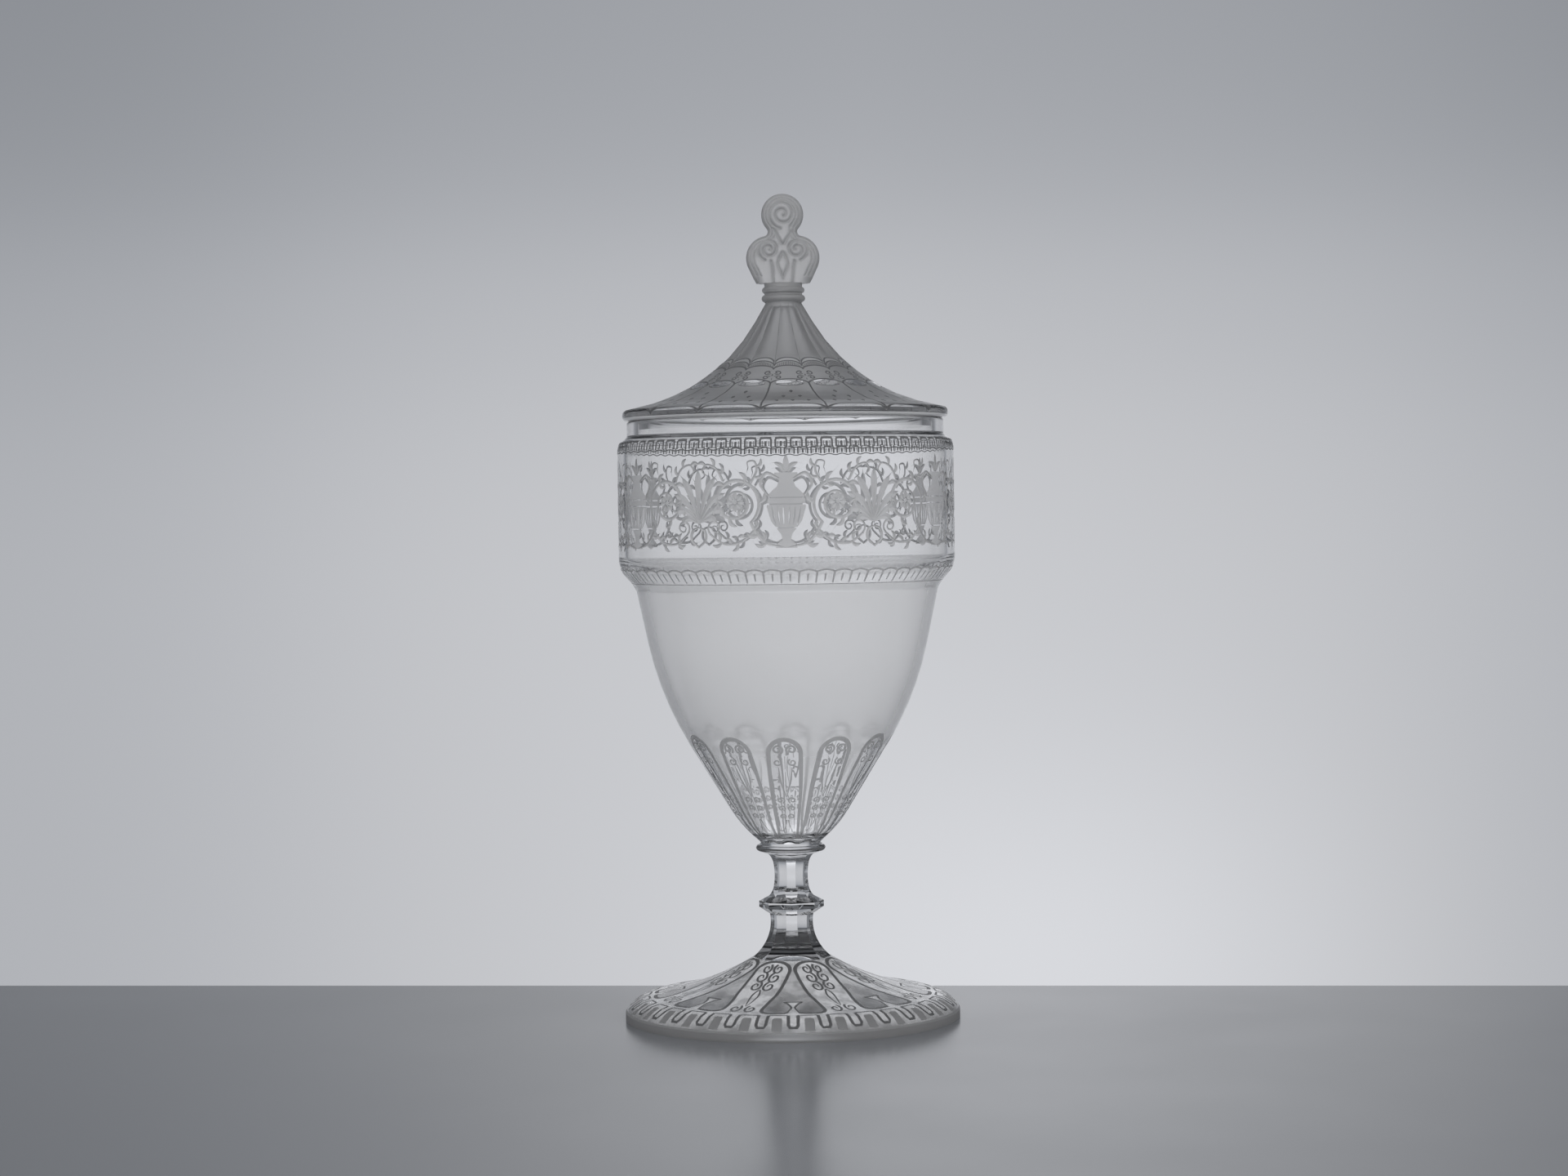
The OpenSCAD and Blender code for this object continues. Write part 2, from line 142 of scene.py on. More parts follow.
def makeGroundGrain(look):
    group = bpy.data.node_groups.new("groundGrain", "ShaderNodeTree")
    for name, value in (("Grain", 900), ("Low", 0.3), ("High", 0.4)):
        socket = group.interface.new_socket(name, in_out="INPUT", socket_type="NodeSocketFloat")
        socket.default_value = value
    for name in ("Roughness", "Height"):
        group.interface.new_socket(name, in_out="OUTPUT", socket_type="NodeSocketFloat")
    given = group.nodes.new("NodeGroupInput").outputs
    result = group.nodes.new("NodeGroupOutput").inputs
    low, high = look["cloudSpan"]
    spread = addNode(group, "ShaderNodeMapRange", {1: low, 2: high})
    plug(group, objectNoise(group, look["cloud"], look["cloudDetail"]), spread.inputs[0])
    plug(group, given["Low"], spread.inputs[3])
    plug(group, given["High"], spread.inputs[4])
    plug(group, spread.outputs[0], result["Roughness"])
    plug(group, objectNoise(group, given["Grain"], look["grainDetail"]), result["Height"])
    return group


groundGrain = makeGroundGrain(grainLook)

# finishes: through is the share of light let through, rough the span of the roughness. A fade is less ground
# towards the bottom, a cloud (scale, darkest) makes the tint uneven and a painted shade (low, high, darkest)
# darkens its bottom, as the glass looks darker low down.
blown = {"tint": (0.99, 0.99, 0.99), "wave": 26.0, "bump": 0.015, "depth": 0.0006}
satin = {"tint": (0.99, 0.988, 0.985), "grain": 140.0, "rough": (0.13, 0.17), "bump": 0.03}
fading = {**satin, "fade": (0.095, 0.128)}
polished = {"tint": (0.98, 0.978, 0.975), "grain": 140.0, "bump": 0.02}
fine = {"grain": 900.0, "bump": 0.1}
glassFinish = {
    "clearGlass": {**blown, "through": 1.0},
    # painted highlight: the bead lets half the light through and shows the rest as diffuse white, so it reads
    # bright
    "rimGlass": {**blown, "through": 0.5},
    "satinGlass": {**satin, "through": 0.7},
    "fadingHigh": {**fading, "through": 0.78},
    "fadingMiddle": {**fading, "through": 0.86},
    "fadingLow": {**fading, "through": 0.94},
    "hollowGlass": {**polished, "tint": (0.97, 0.968, 0.965), "through": 0.92, "rough": (0.05, 0.08)},
    # painted shade: the bell fields darken towards their low end
    "bellGlass": {**polished, "through": 0.66, "rough": (0.06, 0.1), "cloud": (120.0, 0.66),
                  "paintedShade": (0.0105, 0.019, 0.5)},
    "tongueGlass": {**polished, "through": 0.54, "rough": (0.08, 0.12), "cloud": (150.0, 0.64)},
    # painted shade: the border darkens towards the rim
    "frostGlass": {**polished, "through": 0.58, "grain": 300.0, "rough": (0.12, 0.16), "bump": 0.03,
                   "cloud": (150.0, 0.7), "paintedShade": (0.0035, 0.0095, 0.55)},
    "figureGlass": {**fine, "tint": (0.56, 0.558, 0.556), "through": 0.55, "rough": (0.3, 0.38)},
    "groundGlass": {**fine, "tint": (0.38, 0.378, 0.376), "through": 0.65, "rough": (0.3, 0.38)},
    "coverGlass": {**fine, "tint": (0.5, 0.498, 0.495), "through": 0.85, "rough": (0.3, 0.38)},
    "matteGlass": {**fine, "tint": (0.42, 0.418, 0.416), "through": 0.65, "rough": (0.36, 0.44)},
    "etchedLine": {**fine, "tint": (0.48, 0.478, 0.476), "through": 0.65, "rough": (0.36, 0.44)},
    "darkLine": {**fine, "tint": (0.1, 0.1, 0.1), "through": 0.35, "rough": (0.36, 0.44)},
    # painted shade for the finial's outline band and grooves
    "finialShadeGlass": {**fine, "tint": (0.48, 0.478, 0.475), "through": 0.7, "rough": (0.38, 0.46)},
    "carvedGlass": {**fine, "tint": (0.63, 0.627, 0.623), "through": 0.82, "rough": (0.38, 0.46)},
    "cutLine": {**fine, "tint": (0.14, 0.14, 0.142), "through": 0.65, "grain": 1200.0, "rough": (0.42, 0.5)},
}
glassLook = {"ior": 1.5, "grainDepth": 0.0001, "fadeTo": 0.2, "cloudDetail": 2.0, "cloudSpan": (0.36, 0.62)}


def unevenTintAndShade(tree, finish):
    # clouded tone, as where more glass shows through; a painted shade darkens the bottom where the finish has
    # one
    scale, darkest = finish["cloud"]
    cloud = objectNoise(tree, scale, glassLook["cloudDetail"])
    level = rangeNode(tree, cloud, *glassLook["cloudSpan"], darkest, 1.0, True)
    if "paintedShade" in finish:
        low, high, bottom = finish["paintedShade"]
        paintedShade = rangeNode(tree, objectHeight(tree), low, high, bottom, 1.0, True)
        level = mathNode(tree, "MULTIPLY", level, paintedShade)
    return mixNode(tree, level, (0, 0, 0, 1), (*finish["tint"], 1))


def makeGlass(name, finish):
    material = bpy.data.materials.new(name)
    material.use_nodes = True
    tree = material.node_tree
    shader = tree.nodes["Principled BSDF"].inputs
    plug(tree, (*finish["tint"], 1), shader["Base Color"])
    plug(tree, glassLook["ior"], shader["IOR"])
    plug(tree, finish["through"], shader["Transmission Weight"])
    if "cloud" in finish:
        plug(tree, unevenTintAndShade(tree, finish), shader["Base Color"])
    depth = finish.get("depth", glassLook["grainDepth"])
    bump = addNode(tree, "ShaderNodeBump", {"Strength": finish["bump"], "Distance": depth})
    if "grain" in finish:
        low, high = finish["rough"]
        values = {"Grain": finish["grain"], "Low": low, "High": high}
        ground = addNode(tree, "ShaderNodeGroup", values, node_tree=groundGrain)
        roughness, height = ground.outputs["Roughness"], ground.outputs["Height"]
        if "fade" in finish:
            share = rangeNode(tree, objectHeight(tree), *finish["fade"], glassLook["fadeTo"], 1.0, True)
            roughness = mathNode(tree, "MULTIPLY", roughness, share)
    else:
        roughness, height = 0, objectNoise(tree, finish["wave"], 0.0)
    plug(tree, roughness, shader["Roughness"])
    plug(tree, height, bump.inputs["Height"])
    plug(tree, bump.outputs["Normal"], shader["Normal"])
    return material


def makeJoint():
    # faces inside a hot joint, where glass runs on into glass
    material = bpy.data.materials.new("jointGlass")
    material.use_nodes = True
    shader = material.node_tree.nodes["Principled BSDF"]
    shader.inputs["Base Color"].default_value = (1, 1, 1, 1)
    shader.inputs["Alpha"].default_value = 0
    return material


paints = {name: makeGlass(name, finish) for name, finish in glassFinish.items()}
paints["jointGlass"] = makeJoint()
print("materials made:", ", ".join(paints))


# turned outlines: corners are (radius, height, rounding, bow) in mm, with the piece on the left of the line.
# A bow is the radius of the arc from the corner before, above 0 where it swells and under 0 where hollow.
def heading(a, b):
    return math.atan2(b[1] - a[1], b[0] - a[0])


def bowEnds(a, b, bow):
    middle = heading(a, b)
    half = math.asin(math.dist(a, b) / 2 / abs(bow))
    return (middle - half, middle + half) if bow > 0 else (middle + half, middle - half)


def arcSamples(start, radius, fromHeading, toHeading, step):
    side = 1 if toHeading > fromHeading else -1
    count = max(2, math.ceil(abs(math.degrees(toHeading - fromHeading)) / step))
    x = start[0] - side * radius * math.sin(fromHeading)
    z = start[1] + side * radius * math.cos(fromHeading)
    samples = []
    for k in range(count + 1):
        h = fromHeading + (toHeading - fromHeading) * k / count
        samples.append((x + side * radius * math.sin(h), z - side * radius * math.cos(h), h))
    return samples


def turnedLine(corners, step=4):
    full = [(*corner, 0, 0)[:4] for corner in corners]
    samples = []
    for i, (r, z, rounding, bow) in enumerate(full):
        here = (r, z)
        before = after = None
        if i:
            start = full[i - 1][:2]
            before = bowEnds(start, here, bow)[1] if bow else heading(start, here)
            if bow:
                samples += arcSamples(start, abs(bow), bowEnds(start, here, bow)[0], before, step / 2)
        if i + 1 < len(full):
            end, nextBow = full[i + 1][:2], full[i + 1][3]
            after = bowEnds(here, end, nextBow)[0] if nextBow else heading(here, end)
        if rounding:
            turn = (after - before + math.pi) % (2 * math.pi) - math.pi
            reach = rounding * math.tan(abs(turn) / 2)
            start = (r - math.cos(before) * reach, z - math.sin(before) * reach)
            samples += arcSamples(start, rounding, before, before + turn, step)
            continue
        if before is not None and not bow:
            samples.append((r, z, before))
        if after is not None:
            samples.append((r, z, after))
    lengths = [0.0]
    for k in range(1, len(samples)):
        (x0, z0, h0), (x1, z1, h1) = samples[k - 1], samples[k]
        lengths.append(lengths[-1] + math.dist((x0, z0), (x1, z1)))
        samples[k] = (x1, z1, h1 + 2 * math.pi * round((h0 - h1) / (2 * math.pi)))  # no jump by a full turn
    return {"lengths": lengths, "samples": samples}


def insetCorner(a, v, b, wall):
    # corner v of the line a-v-b moved in by the wall
    first, second = heading(a, v), heading(v, b)
    half = (first + second) / 2
    reach = wall / math.cos((second - first) / 2)
    return (v[0] - math.sin(half) * reach, v[1] + math.cos(half) * reach)


def along(line, length):
    # radius, height and heading at a length along the line
    lengths, samples = line["lengths"], line["samples"]
    k = min(max(bisect.bisect_right(lengths, length) - 1, 0), len(lengths) - 2)
    span = lengths[k + 1] - lengths[k]
    t = min(max((length - lengths[k]) / span, 0), 1) if span > 1e-9 else 0
    return tuple(p + (q - p) * t for p, q in zip(samples[k], samples[k + 1]))


def lengthAt(line, corner):
    # length along the line at the sample nearest to a corner
    near = min(range(len(line["samples"])), key=lambda k: math.dist(line["samples"][k][:2], corner))
    return line["lengths"][near]


# a skin gathers the faces of one piece: points, faces with their paint, and the normal at each face corner
def newSkin():
    return {"points": [], "known": {}, "faces": [], "paints": [], "normals": []}


def pointIndex(skin, point):
    key = (round(point[0], 4), round(point[1], 4), round(point[2], 4))
    if key not in skin["known"]:
        skin["known"][key] = len(skin["points"])
        skin["points"].append(key)
    return skin["known"][key]


def addFace(skin, points, normals, paint):
    corners, kept = [], []
    for point, normal in zip(points, normals):
        index = pointIndex(skin, point)
        if index not in corners:
            corners.append(index)
            kept.append(normal)
    if len(corners) > 2:
        skin["faces"].append(corners)
        skin["normals"] += kept
        skin["paints"].append(paint)


def ringAt(line, length, cut=0):
    # radius and height on the line, sunk by a cut
    r, z, h = along(line, length)
    return r - cut * math.sin(h), z + cut * math.cos(h)


def spotAt(r, z, angle):
    # the angle runs from the front to the right, in radians
    return (r * math.sin(angle), -r * math.cos(angle), z)


def onSurface(line, length, angle, relief=None):
    return Vector(spotAt(*ringAt(line, length, relief(angle, length) if relief else 0), angle))


def surfaceNormal(line, length, angle, towards, relief):
    # normal on the side of the face whose middle is towards
    nudge, nearAxis = 0.02, 0.2
    dLength = nudge if towards[1] >= length else -nudge
    start = length + dLength / 20
    r, z, h = along(line, start)
    if relief is None or r < nearAxis:
        return Vector((math.sin(h) * math.sin(angle), -math.sin(h) * math.cos(angle), -math.cos(h)))
    dAngle = (nudge if towards[0] >= angle else -nudge) / r
    here = onSurface(line, start, angle, relief)
    up = onSurface(line, length + dLength, angle, relief) - here
    side = onSurface(line, start, angle + dAngle, relief) - here
    normal = side.cross(up) * (1 if dLength * dAngle > 0 else -1)
    return normal.normalized()


def turnedRows(line, low, high, spacing):
    rows = [low] + [s for s in line["lengths"] if low + 1e-6 < s < high - 1e-6] + [high]
    full = []
    for a, b in zip(rows, rows[1:]):
        if b - a < 1e-6:
            continue
        count = max(1, math.ceil((b - a) / spacing))
        full += [a + (b - a) * k / count for k in range(count)]
    return full + [high]


def turnBand(skin, line, low, high, columns, paint, spacing=6, turn=0):
    # plain turned band
    rows = turnedRows(line, low, high, spacing)
    turns = [math.radians(turn) + 2 * math.pi * k / columns for k in range(columns + 1)]
    for a, b in zip(rows, rows[1:]):
        for left, right in zip(turns, turns[1:]):
            middle = ((left + right) / 2, (a + b) / 2)
            spots = [(a, left), (a, right), (b, right), (b, left)]
            points = [spotAt(*ringAt(line, s), t) for s, t in spots]
            normals = [surfaceNormal(line, s, t, middle, None) for s, t in spots]
            addFace(skin, points, normals, paint)


# a drawing lies on one cell of a band: shapes of lines and tiles, points (across, along, depth) in mm.
# Later shapes lie on earlier ones, and spots nearer than the gap are one.
weldGap = 1e-3


def widthAt(width, t):
    if not isinstance(width, (list, tuple)):
        return width
    place = t * (len(width) - 1)
    k = min(int(place), len(width) - 2)
    return width[k] + (width[k + 1] - width[k]) * (place - k)


def stroke(drawing, line, width, paint="etchedLine", depth=0.0):
    # etched line, or a V-shaped cut where it has a depth; the width may change from end to end
    least, steepest = 0.04, 0.7
    left, middle, right = [], [], []
    total = len(line) - 1
    for i, (x, y) in enumerate(line):
        a, b = line[max(i - 1, 0)], line[min(i + 1, total)]
        dx, dy = b[0] - a[0], b[1] - a[1]
        size = math.hypot(dx, dy) or 1
        half = max(widthAt(width, i / total), least) / 2
        left.append((x - dy / size * half, y + dx / size * half, 0))
        middle.append((x, y, min(depth, half * steepest)))
        right.append((x + dy / size * half, y - dx / size * half, 0))
    tiles = []
    for a, b in ((left, middle), (middle, right)) if depth else ((left, right),):
        for i in range(total):
            tiles.append([a[i], a[i + 1], b[i + 1]])
            tiles.append([a[i], b[i + 1], b[i]])
    ends = [[left[k], right[k]] for k in (0, -1)]
    if depth:
        ends = [middle] + [[left[k], middle[k], right[k]] for k in (0, -1)]
    drawing.append({"paint": paint, "tiles": tiles, "lines": [left, right, *ends]})


def fill(drawing, points, paint):
    spots = [(x, y, 0) for x, y in points]
    corners = tessellate_polygon([[Vector(spot) for spot in spots]])
    tiles = [[spots[i] for i in corner] for corner in corners]
    drawing.append({"paint": paint, "tiles": tiles, "lines": [spots + spots[:1]]})


def redraw(drawing, change):
    # the drawing with each point changed
    changed = []
    for shape in drawing:
        rows = {name: [[change(spot) for spot in row] for row in shape[name]] for name in ("tiles", "lines")}
        changed.append({"paint": shape["paint"], **rows})
    return changed


def mirrored(drawing):
    # the drawing with its mirror image
    return drawing + redraw(drawing, lambda spot: (-spot[0], spot[1], spot[2]))


def bothSides(half):
    # closed outline from its right half
    return half + [(-x, y) for x, y in half[::-1]]


def readDrawing(spots, drawing):
    # for each spot, the last shape that covers it and the depth of the cut there
    owner = np.full(len(spots), -1)
    depth = np.zeros(len(spots))
    for index, shape in enumerate(drawing):
        for tile in shape["tiles"]:
            (xa, ya, da), (xb, yb, db), (xc, yc, dc) = tile
            area = (xb - xa) * (yc - ya) - (xc - xa) * (yb - ya)
            if abs(area) < 1e-9:
                continue
            low, high = np.min(tile, axis=0)[:2] - weldGap, np.max(tile, axis=0)[:2] + weldGap
            near = np.nonzero(np.all((spots > low) & (spots < high), axis=1))[0]
            x, y = spots[near].T
            u = ((xb - x) * (yc - y) - (xc - x) * (yb - y)) / area
            v = ((xc - x) * (ya - y) - (xa - x) * (yc - y)) / area
            w = 1 - u - v
            hit = np.minimum(np.minimum(u, v), w) > -1e-3
            owner[near[hit]] = index
            depth[near[hit]] = np.maximum(depth[near[hit]], (u * da + v * db + w * dc)[hit])
    return owner, depth


def scroll(x, y, radius, start, turns, eye=0.25, count=22):
    # spiral line from the outside to its eye, angles in degrees
    spots = []
    for k in range(count + 1):
        t = k / count
        a = math.radians(start + 360 * turns * t)
        r = radius * (1 - (1 - eye) * t)
        spots.append((x + r * math.cos(a), y + r * math.sin(a)))
    return spots


def curve(*knots, count=8):
    # smooth line through the knots
    spots = []
    full = [knots[0], *knots, knots[-1]]
    for p0, p1, p2, p3 in zip(full, full[1:], full[2:], full[3:]):
        for k in range(count):
            t = k / count
            spot = []
            for a, b, c, d in zip(p0, p1, p2, p3):
                bend, twist = 2 * a - 5 * b + 4 * c - d, 3 * b - a - 3 * c + d
                spot.append(0.5 * (2 * b + (c - a) * t + bend * t * t + twist * t ** 3))
            spots.append(tuple(spot))
    return spots + [knots[-1]]


def clipLine(a, b, wide, low, high):
    # part of a line that lies in the cell
    start, end = 0.0, 1.0
    for axis, limit, side in ((0, wide, 1), (0, -wide, -1), (1, high, 1), (1, low, -1)):
        fromA, fromB = (a[axis] - limit) * side, (b[axis] - limit) * side
        if fromA > 0 and fromB > 0:
            return []
        if fromA > 0:
            start = max(start, fromA / (fromA - fromB))
        elif fromB > 0:
            end = min(end, fromA / (fromA - fromB))
    if end - start < 1e-6:
        return []
    return [tuple(p + (q - p) * t for p, q in zip(a[:2], b[:2])) for t in (start, end)]


def engraveBand(skin, line, origin, way, low, high, cells, turn, drawing, columns, spacing, ground,
                relief=None):
    # band of equal cells with the drawing in each; low and high are lengths from the origin, one way along
    # the line. Each cell is laid flat at the middle radius and cut into triangles along the drawing's lines.
    half = math.pi / cells
    middle = along(line, origin + way * (low + high) / 2)[0]
    wide = half * middle
    coords, known, edges = [], {}, []

    def addPoint(x, y):
        x = math.copysign(wide, x) if abs(x) > wide - 2 * weldGap else round(x, 3)
        key = (round(x, 3), round(y, 3))
        if key not in known:
            known[key] = len(coords)
            coords.append((x, y if y in (low, high) else round(y, 3)))
        return known[key]

    def flatten(spot):
        r = along(line, origin + way * min(max(spot[1], low), high))[0]
        return (spot[0] / r * middle, spot[1], spot[2])

    ends = sorted((origin + way * low, origin + way * high))
    for s in turnedRows(line, *ends, spacing):
        for k in range(columns + 1):
            addPoint(wide * (2 * k / columns - 1), (s - origin) * way)
    flat = redraw(drawing, flatten)
    for shape in flat:
        for row in shape["lines"]:
            for a, b in zip(row, row[1:]):
                edge = [addPoint(*spot) for spot in clipLine(a, b, wide, low, high)]
                if len(set(edge)) == 2:
                    edges.append(edge)
    spots, _, triangles, _, _, _ = delaunay_2d_cdt([Vector(spot) for spot in coords], edges, [], 0, 1e-4)

    settled = []
    for x, y in spots:
        if abs(x) > wide - weldGap:
            x, y = math.copysign(wide, x), round(y, 3)  # shared by two cells
        for edge in (low, high):
            if abs(y - edge) < weldGap:
                y = edge  # shared with the next band
                x = wide * (2 * round((x / wide + 1) / 2 * columns) / columns - 1)
        settled.append((x, y))
    cuts = readDrawing(np.array(settled), flat)[1]
    centres = [[sum(settled[i][k] for i in corners) / 3 for k in (0, 1)] for corners in triangles]
    owners = readDrawing(np.array(centres), flat)[0]
    places = []
    for (x, y), cut in zip(settled, cuts):
        angle, s = x / middle, origin + way * y
        depth = float(cut) + (relief(angle, s) if relief else 0)
        places.append((angle, s, cut, ringAt(line, s, depth)))
    pattern = []
    for corners, owner in zip(triangles, owners):
        paint = flat[owner]["paint"] if owner >= 0 else ground
        centre = tuple(sum(places[i][k] for i in corners) / 3 for k in (0, 1))
        points = [Vector(spotAt(*places[i][3], places[i][0])) for i in corners]
        across = (points[1] - points[0]).cross(points[2] - points[0])
        outward = surfaceNormal(line, centre[1], centre[0], centre, None)
        order = -1 if across.dot(outward) < 0 else 1
        if any(places[i][2] > weldGap for i in corners) and across.length > 1e-9:
            normals = [across.normalized() * order] * 3
        else:
            normals = [surfaceNormal(line, places[i][1], places[i][0], centre, relief) for i in corners]
        pattern.append((corners[::order], paint, normals[::order]))
    for cell in range(cells):
        spin = math.radians(turn) + 2 * math.pi * cell / cells
        turned = Matrix.Rotation(spin, 3, "Z")
        solid = [spotAt(*ring, angle + spin) for angle, s, cut, ring in places]
        for corners, paint, normals in pattern:
            addFace(skin, [solid[i] for i in corners], [turned @ n for n in normals], paint)


def finishPiece(name, skin, body, node):
    # mesh of a skin, riding on its body in place of a CAD node
    mesh = bpy.data.meshes.new(name)
    mesh.from_pydata([Vector(p) * mm for p in skin["points"]], [], skin["faces"])
    names = sorted(set(skin["paints"]))
    for paint in names:
        mesh.materials.append(paints[paint])
    for polygon, paint in zip(mesh.polygons, skin["paints"]):
        polygon.material_index = names.index(paint)
        polygon.use_smooth = True
    mesh.normals_split_custom_set(skin["normals"])
    seatPiece(linkPiece(name, mesh), body, node)
    print("made", name, "with", len(mesh.polygons), "faces")


def linkPiece(name, mesh):
    piece = bpy.data.objects.new(name, mesh)
    bpy.context.scene.collection.objects.link(piece)
    return piece


def seatPiece(piece, body, node):
    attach(piece, body)
    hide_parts(node)


# joints: sides of the stem, and spacing of the rows inside a joint in mm
stemSides, jointStep = 8, 20


def jointDisc(skin, height, rim, corner, columns, facing, ringPaint):
    # round end of a turned piece with the octagon of a joined stem in it
    steps, wedge = columns // stemSides, 360 / stemSides
    up = Vector((0, 0, facing))

    def spot(radius, degrees):
        a = math.radians(degrees)
        return Vector((radius * math.sin(a), -radius * math.cos(a), height))

    octagon = [spot(corner, wedge * k) for k in range(stemSides)]
    addFace(skin, octagon[::facing], [up] * stemSides, "jointGlass")
    for k in range(stemSides):
        ring = [spot(rim, wedge * k + wedge * j / steps) for j in range(steps + 1)]
        ring += [spot(corner, wedge * k + wedge), spot(corner, wedge * k)]
        addFace(skin, ring[::facing], [up] * len(ring), ringPaint)


# foot
footShape = {
    "hollow": [(0, 23), (9, 20.5, 0, -17.45), (66.5, 0, 0, 132.5), (75, 0)],
    "outside": [(75, 3.4), (64.4, 10.2, 0, 15), (17.46, 27, 0, -126), (0, 27)],
    "neck": (17.46, 27), "ring": (75, 0), "columns": 192, "rowStep": 2.5, "hollowStep": 9,
    "tongues": 8, "tongueTurn": 22.5, "tongueHead": (8.25, 8.7), "border": 46, "rimTop": 62.1,
    "lobeTop": 44.5, "waist": ((4.0, 34.1), (2.2, 36.2), (0.9, 39.5), (1.0, 41.5), (2.0, 44.5), (3.0, 47.6)),
    "coils": ((2.7, 5.8, 2.3), (3.1, 12.6, 2.7), (3.1, 19.8, 2.7), (3.5, 42.6, 2.7)), "coilStretch": 1.6,
    "crest": 50.2, "loopTurn": 11.25, "loopWide": 2.1, "overlap": 0.5,
}


def footDrawing(line, origin):
    # one tongue with half a bell field on each side; lengths run outwards from the neck
    shape = footShape
    half = math.pi / shape["tongues"]
    tongue, right = [], []

    def radius(v):
        return along(line, origin - v)[0]

    def fromEdge(gap, v):
        # spot at a gap from the edge of the cell
        return (half * radius(v) - gap, v)

    def dark(spots, width, drawing=right):
        stroke(drawing, spots, width, "darkLine")

    over, border, rim = -shape["overlap"], shape["border"], shape["rimTop"]
    size, middle = shape["tongueHead"]
    turns = [math.radians(a) for a in range(0, 91, 9)]
    edge = [(size * math.sin(a), middle - size * math.cos(a)) for a in turns]
    edge += curve((8.3, 10), (8.7, 14), (9.25, 26), (8.7, 34), (8.7, 42), (9.4, 45.2), count=5)
    fill(tongue, bothSides([fromEdge(over, border), fromEdge(over, rim)]), "frostGlass")
    fill(tongue, bothSides(edge + [(10.4, 46.6)]), "tongueGlass")
    lobe = curve((9.4, 45.2), (11.5, 47.0), (15.5, 47.6), (fromEdge(2.9, 46.5)[0], 47.0), count=5)
    fill(right, lobe + [fromEdge(2.2, shape["lobeTop"]), (9.2, shape["lobeTop"])], "bellGlass")
    dark(edge, [1.6, 1.6, 1.5, 1.6, 1.8])
    dark(lobe, 1.8)
    waist = shape["waist"]
    top, low = waist[0][1], waist[-1][1]
    glass = curve(*[fromEdge(*spot) for spot in waist], count=4)
    fill(right, glass + [fromEdge(over, low), fromEdge(over, top)], "frostGlass")
    dark(glass, 0.9)
    dark([fromEdge(4.2, top), fromEdge(over, top)], 1.0)
    for x, v, size in shape["coils"]:
        coil = [(a, v + shape["coilStretch"] * (b - v)) for a, b in scroll(x, v, size, 240, -1.2)]
        dark(coil, [1.15, 1.05, 0.75])
    dark(curve((0.2, 22.6), (1.5, 27.5), (1.1, 33.5), (0.15, 39.5), count=6), [0.6, 0.9, 0.7, 0.3])

    # border of loops with a ground bar between each two
    crest, wide = shape["crest"], shape["loopWide"]
    for k in range(3):
        turn = math.radians(shape["loopTurn"] * k)
        profile = ((crest, wide), (54, wide), (58.2, wide), (59.6, 1.4))
        loop = [(turn * radius(v) - w, v) for v, w in profile]
        loop += [(turn * radius(v) + w, v) for v, w in profile[::-1]]
        dark(loop, 1.4, right if k else tongue)
        if k < 2:
            a, b = [(turn + math.radians(shape["loopTurn"] / 2)) * radius(v) for v in (53.4, 61.4)]
            bar = [(a - 1.4, 53.2), (a + 1.4, 53.2), (a + 2.1, 54.2)]
            bar += [(b + 2.2, 61.4), (b - 2.2, 61.4), (a - 2.1, 54.2)]
            fill(right, bar, "groundGlass")
            onward = turn + math.radians(shape["loopTurn"])
            dark([(turn * radius(crest) + wide, crest), (onward * radius(crest) - wide, crest)], 0.95)
    return tongue + mirrored(right)


def makeFoot():
    shape = footShape
    line = turnedLine(shape["hollow"] + shape["outside"])
    skin = newSkin()
    neck, ring = lengthAt(line, shape["neck"]), lengthAt(line, shape["ring"])
    columns, cells, neckR = shape["columns"], shape["tongues"], shape["neck"][0]
    turnBand(skin, line, 0, ring, columns, "hollowGlass", shape["hollowStep"])
    turnBand(skin, line, ring, neck - shape["rimTop"], columns, "matteGlass")
    engraveBand(skin, line, neck, -1, 0, shape["rimTop"], cells, shape["tongueTurn"], footDrawing(line, neck),
                columns // cells, shape["rowStep"], "bellGlass")
    jointDisc(skin, shape["neck"][1], neckR, neckR, columns, 1, "satinGlass")
    finishPiece("cutFoot", skin, "goblet", "foot")


makeFoot()


# octagonal stem pieces and the collar: rings of (height, distance of the facets from the axis), all in mm
def hollowCut(low, high, waist, distance, radius, count):
    heights = [low + (high - low) * k / count for k in range(count + 1)]
    return [(z, distance + radius - math.sqrt(radius ** 2 - (z - waist) ** 2)) for z in heights]


upperWaist = {
    "low": 54.4, "tall": 19.3, "steps": 34, "middle": 63.7, "reach": 5.5,
    "axis": 37.84, "radius": 31.0, "endAxis": 14.71, "endUp": 4.17, "endRadius": 7.5,
}


def upperCut():
    # a wide hollow round the waist, a tight one at each end
    cut, rings = upperWaist, []
    for k in range(cut["steps"] + 1):
        z = cut["low"] + cut["tall"] * k / cut["steps"]
        h = abs(z - cut["middle"])
        if h < cut["reach"]:
            rings.append((z, cut["axis"] - math.sqrt(cut["radius"] ** 2 - h * h)))
        else:
            rings.append((z, cut["endAxis"] - math.sqrt(cut["endRadius"] ** 2 - (h - cut["endUp"]) ** 2)))
    return rings


stemShape = {
    "lowerStem": {"node": "lower_stem", "rings": hollowCut(27, 46.3, 43, 8.73, 21, 30)},
    "cutKnop": {"node": "knop", "rings": [(46.3, 8.99), (49.4, 13.4), (52.1, 13.4), (54.4, 9.24)]},
    "upperStem": {"node": "upper_stem", "rings": upperCut()},
}
stemCrease = 20


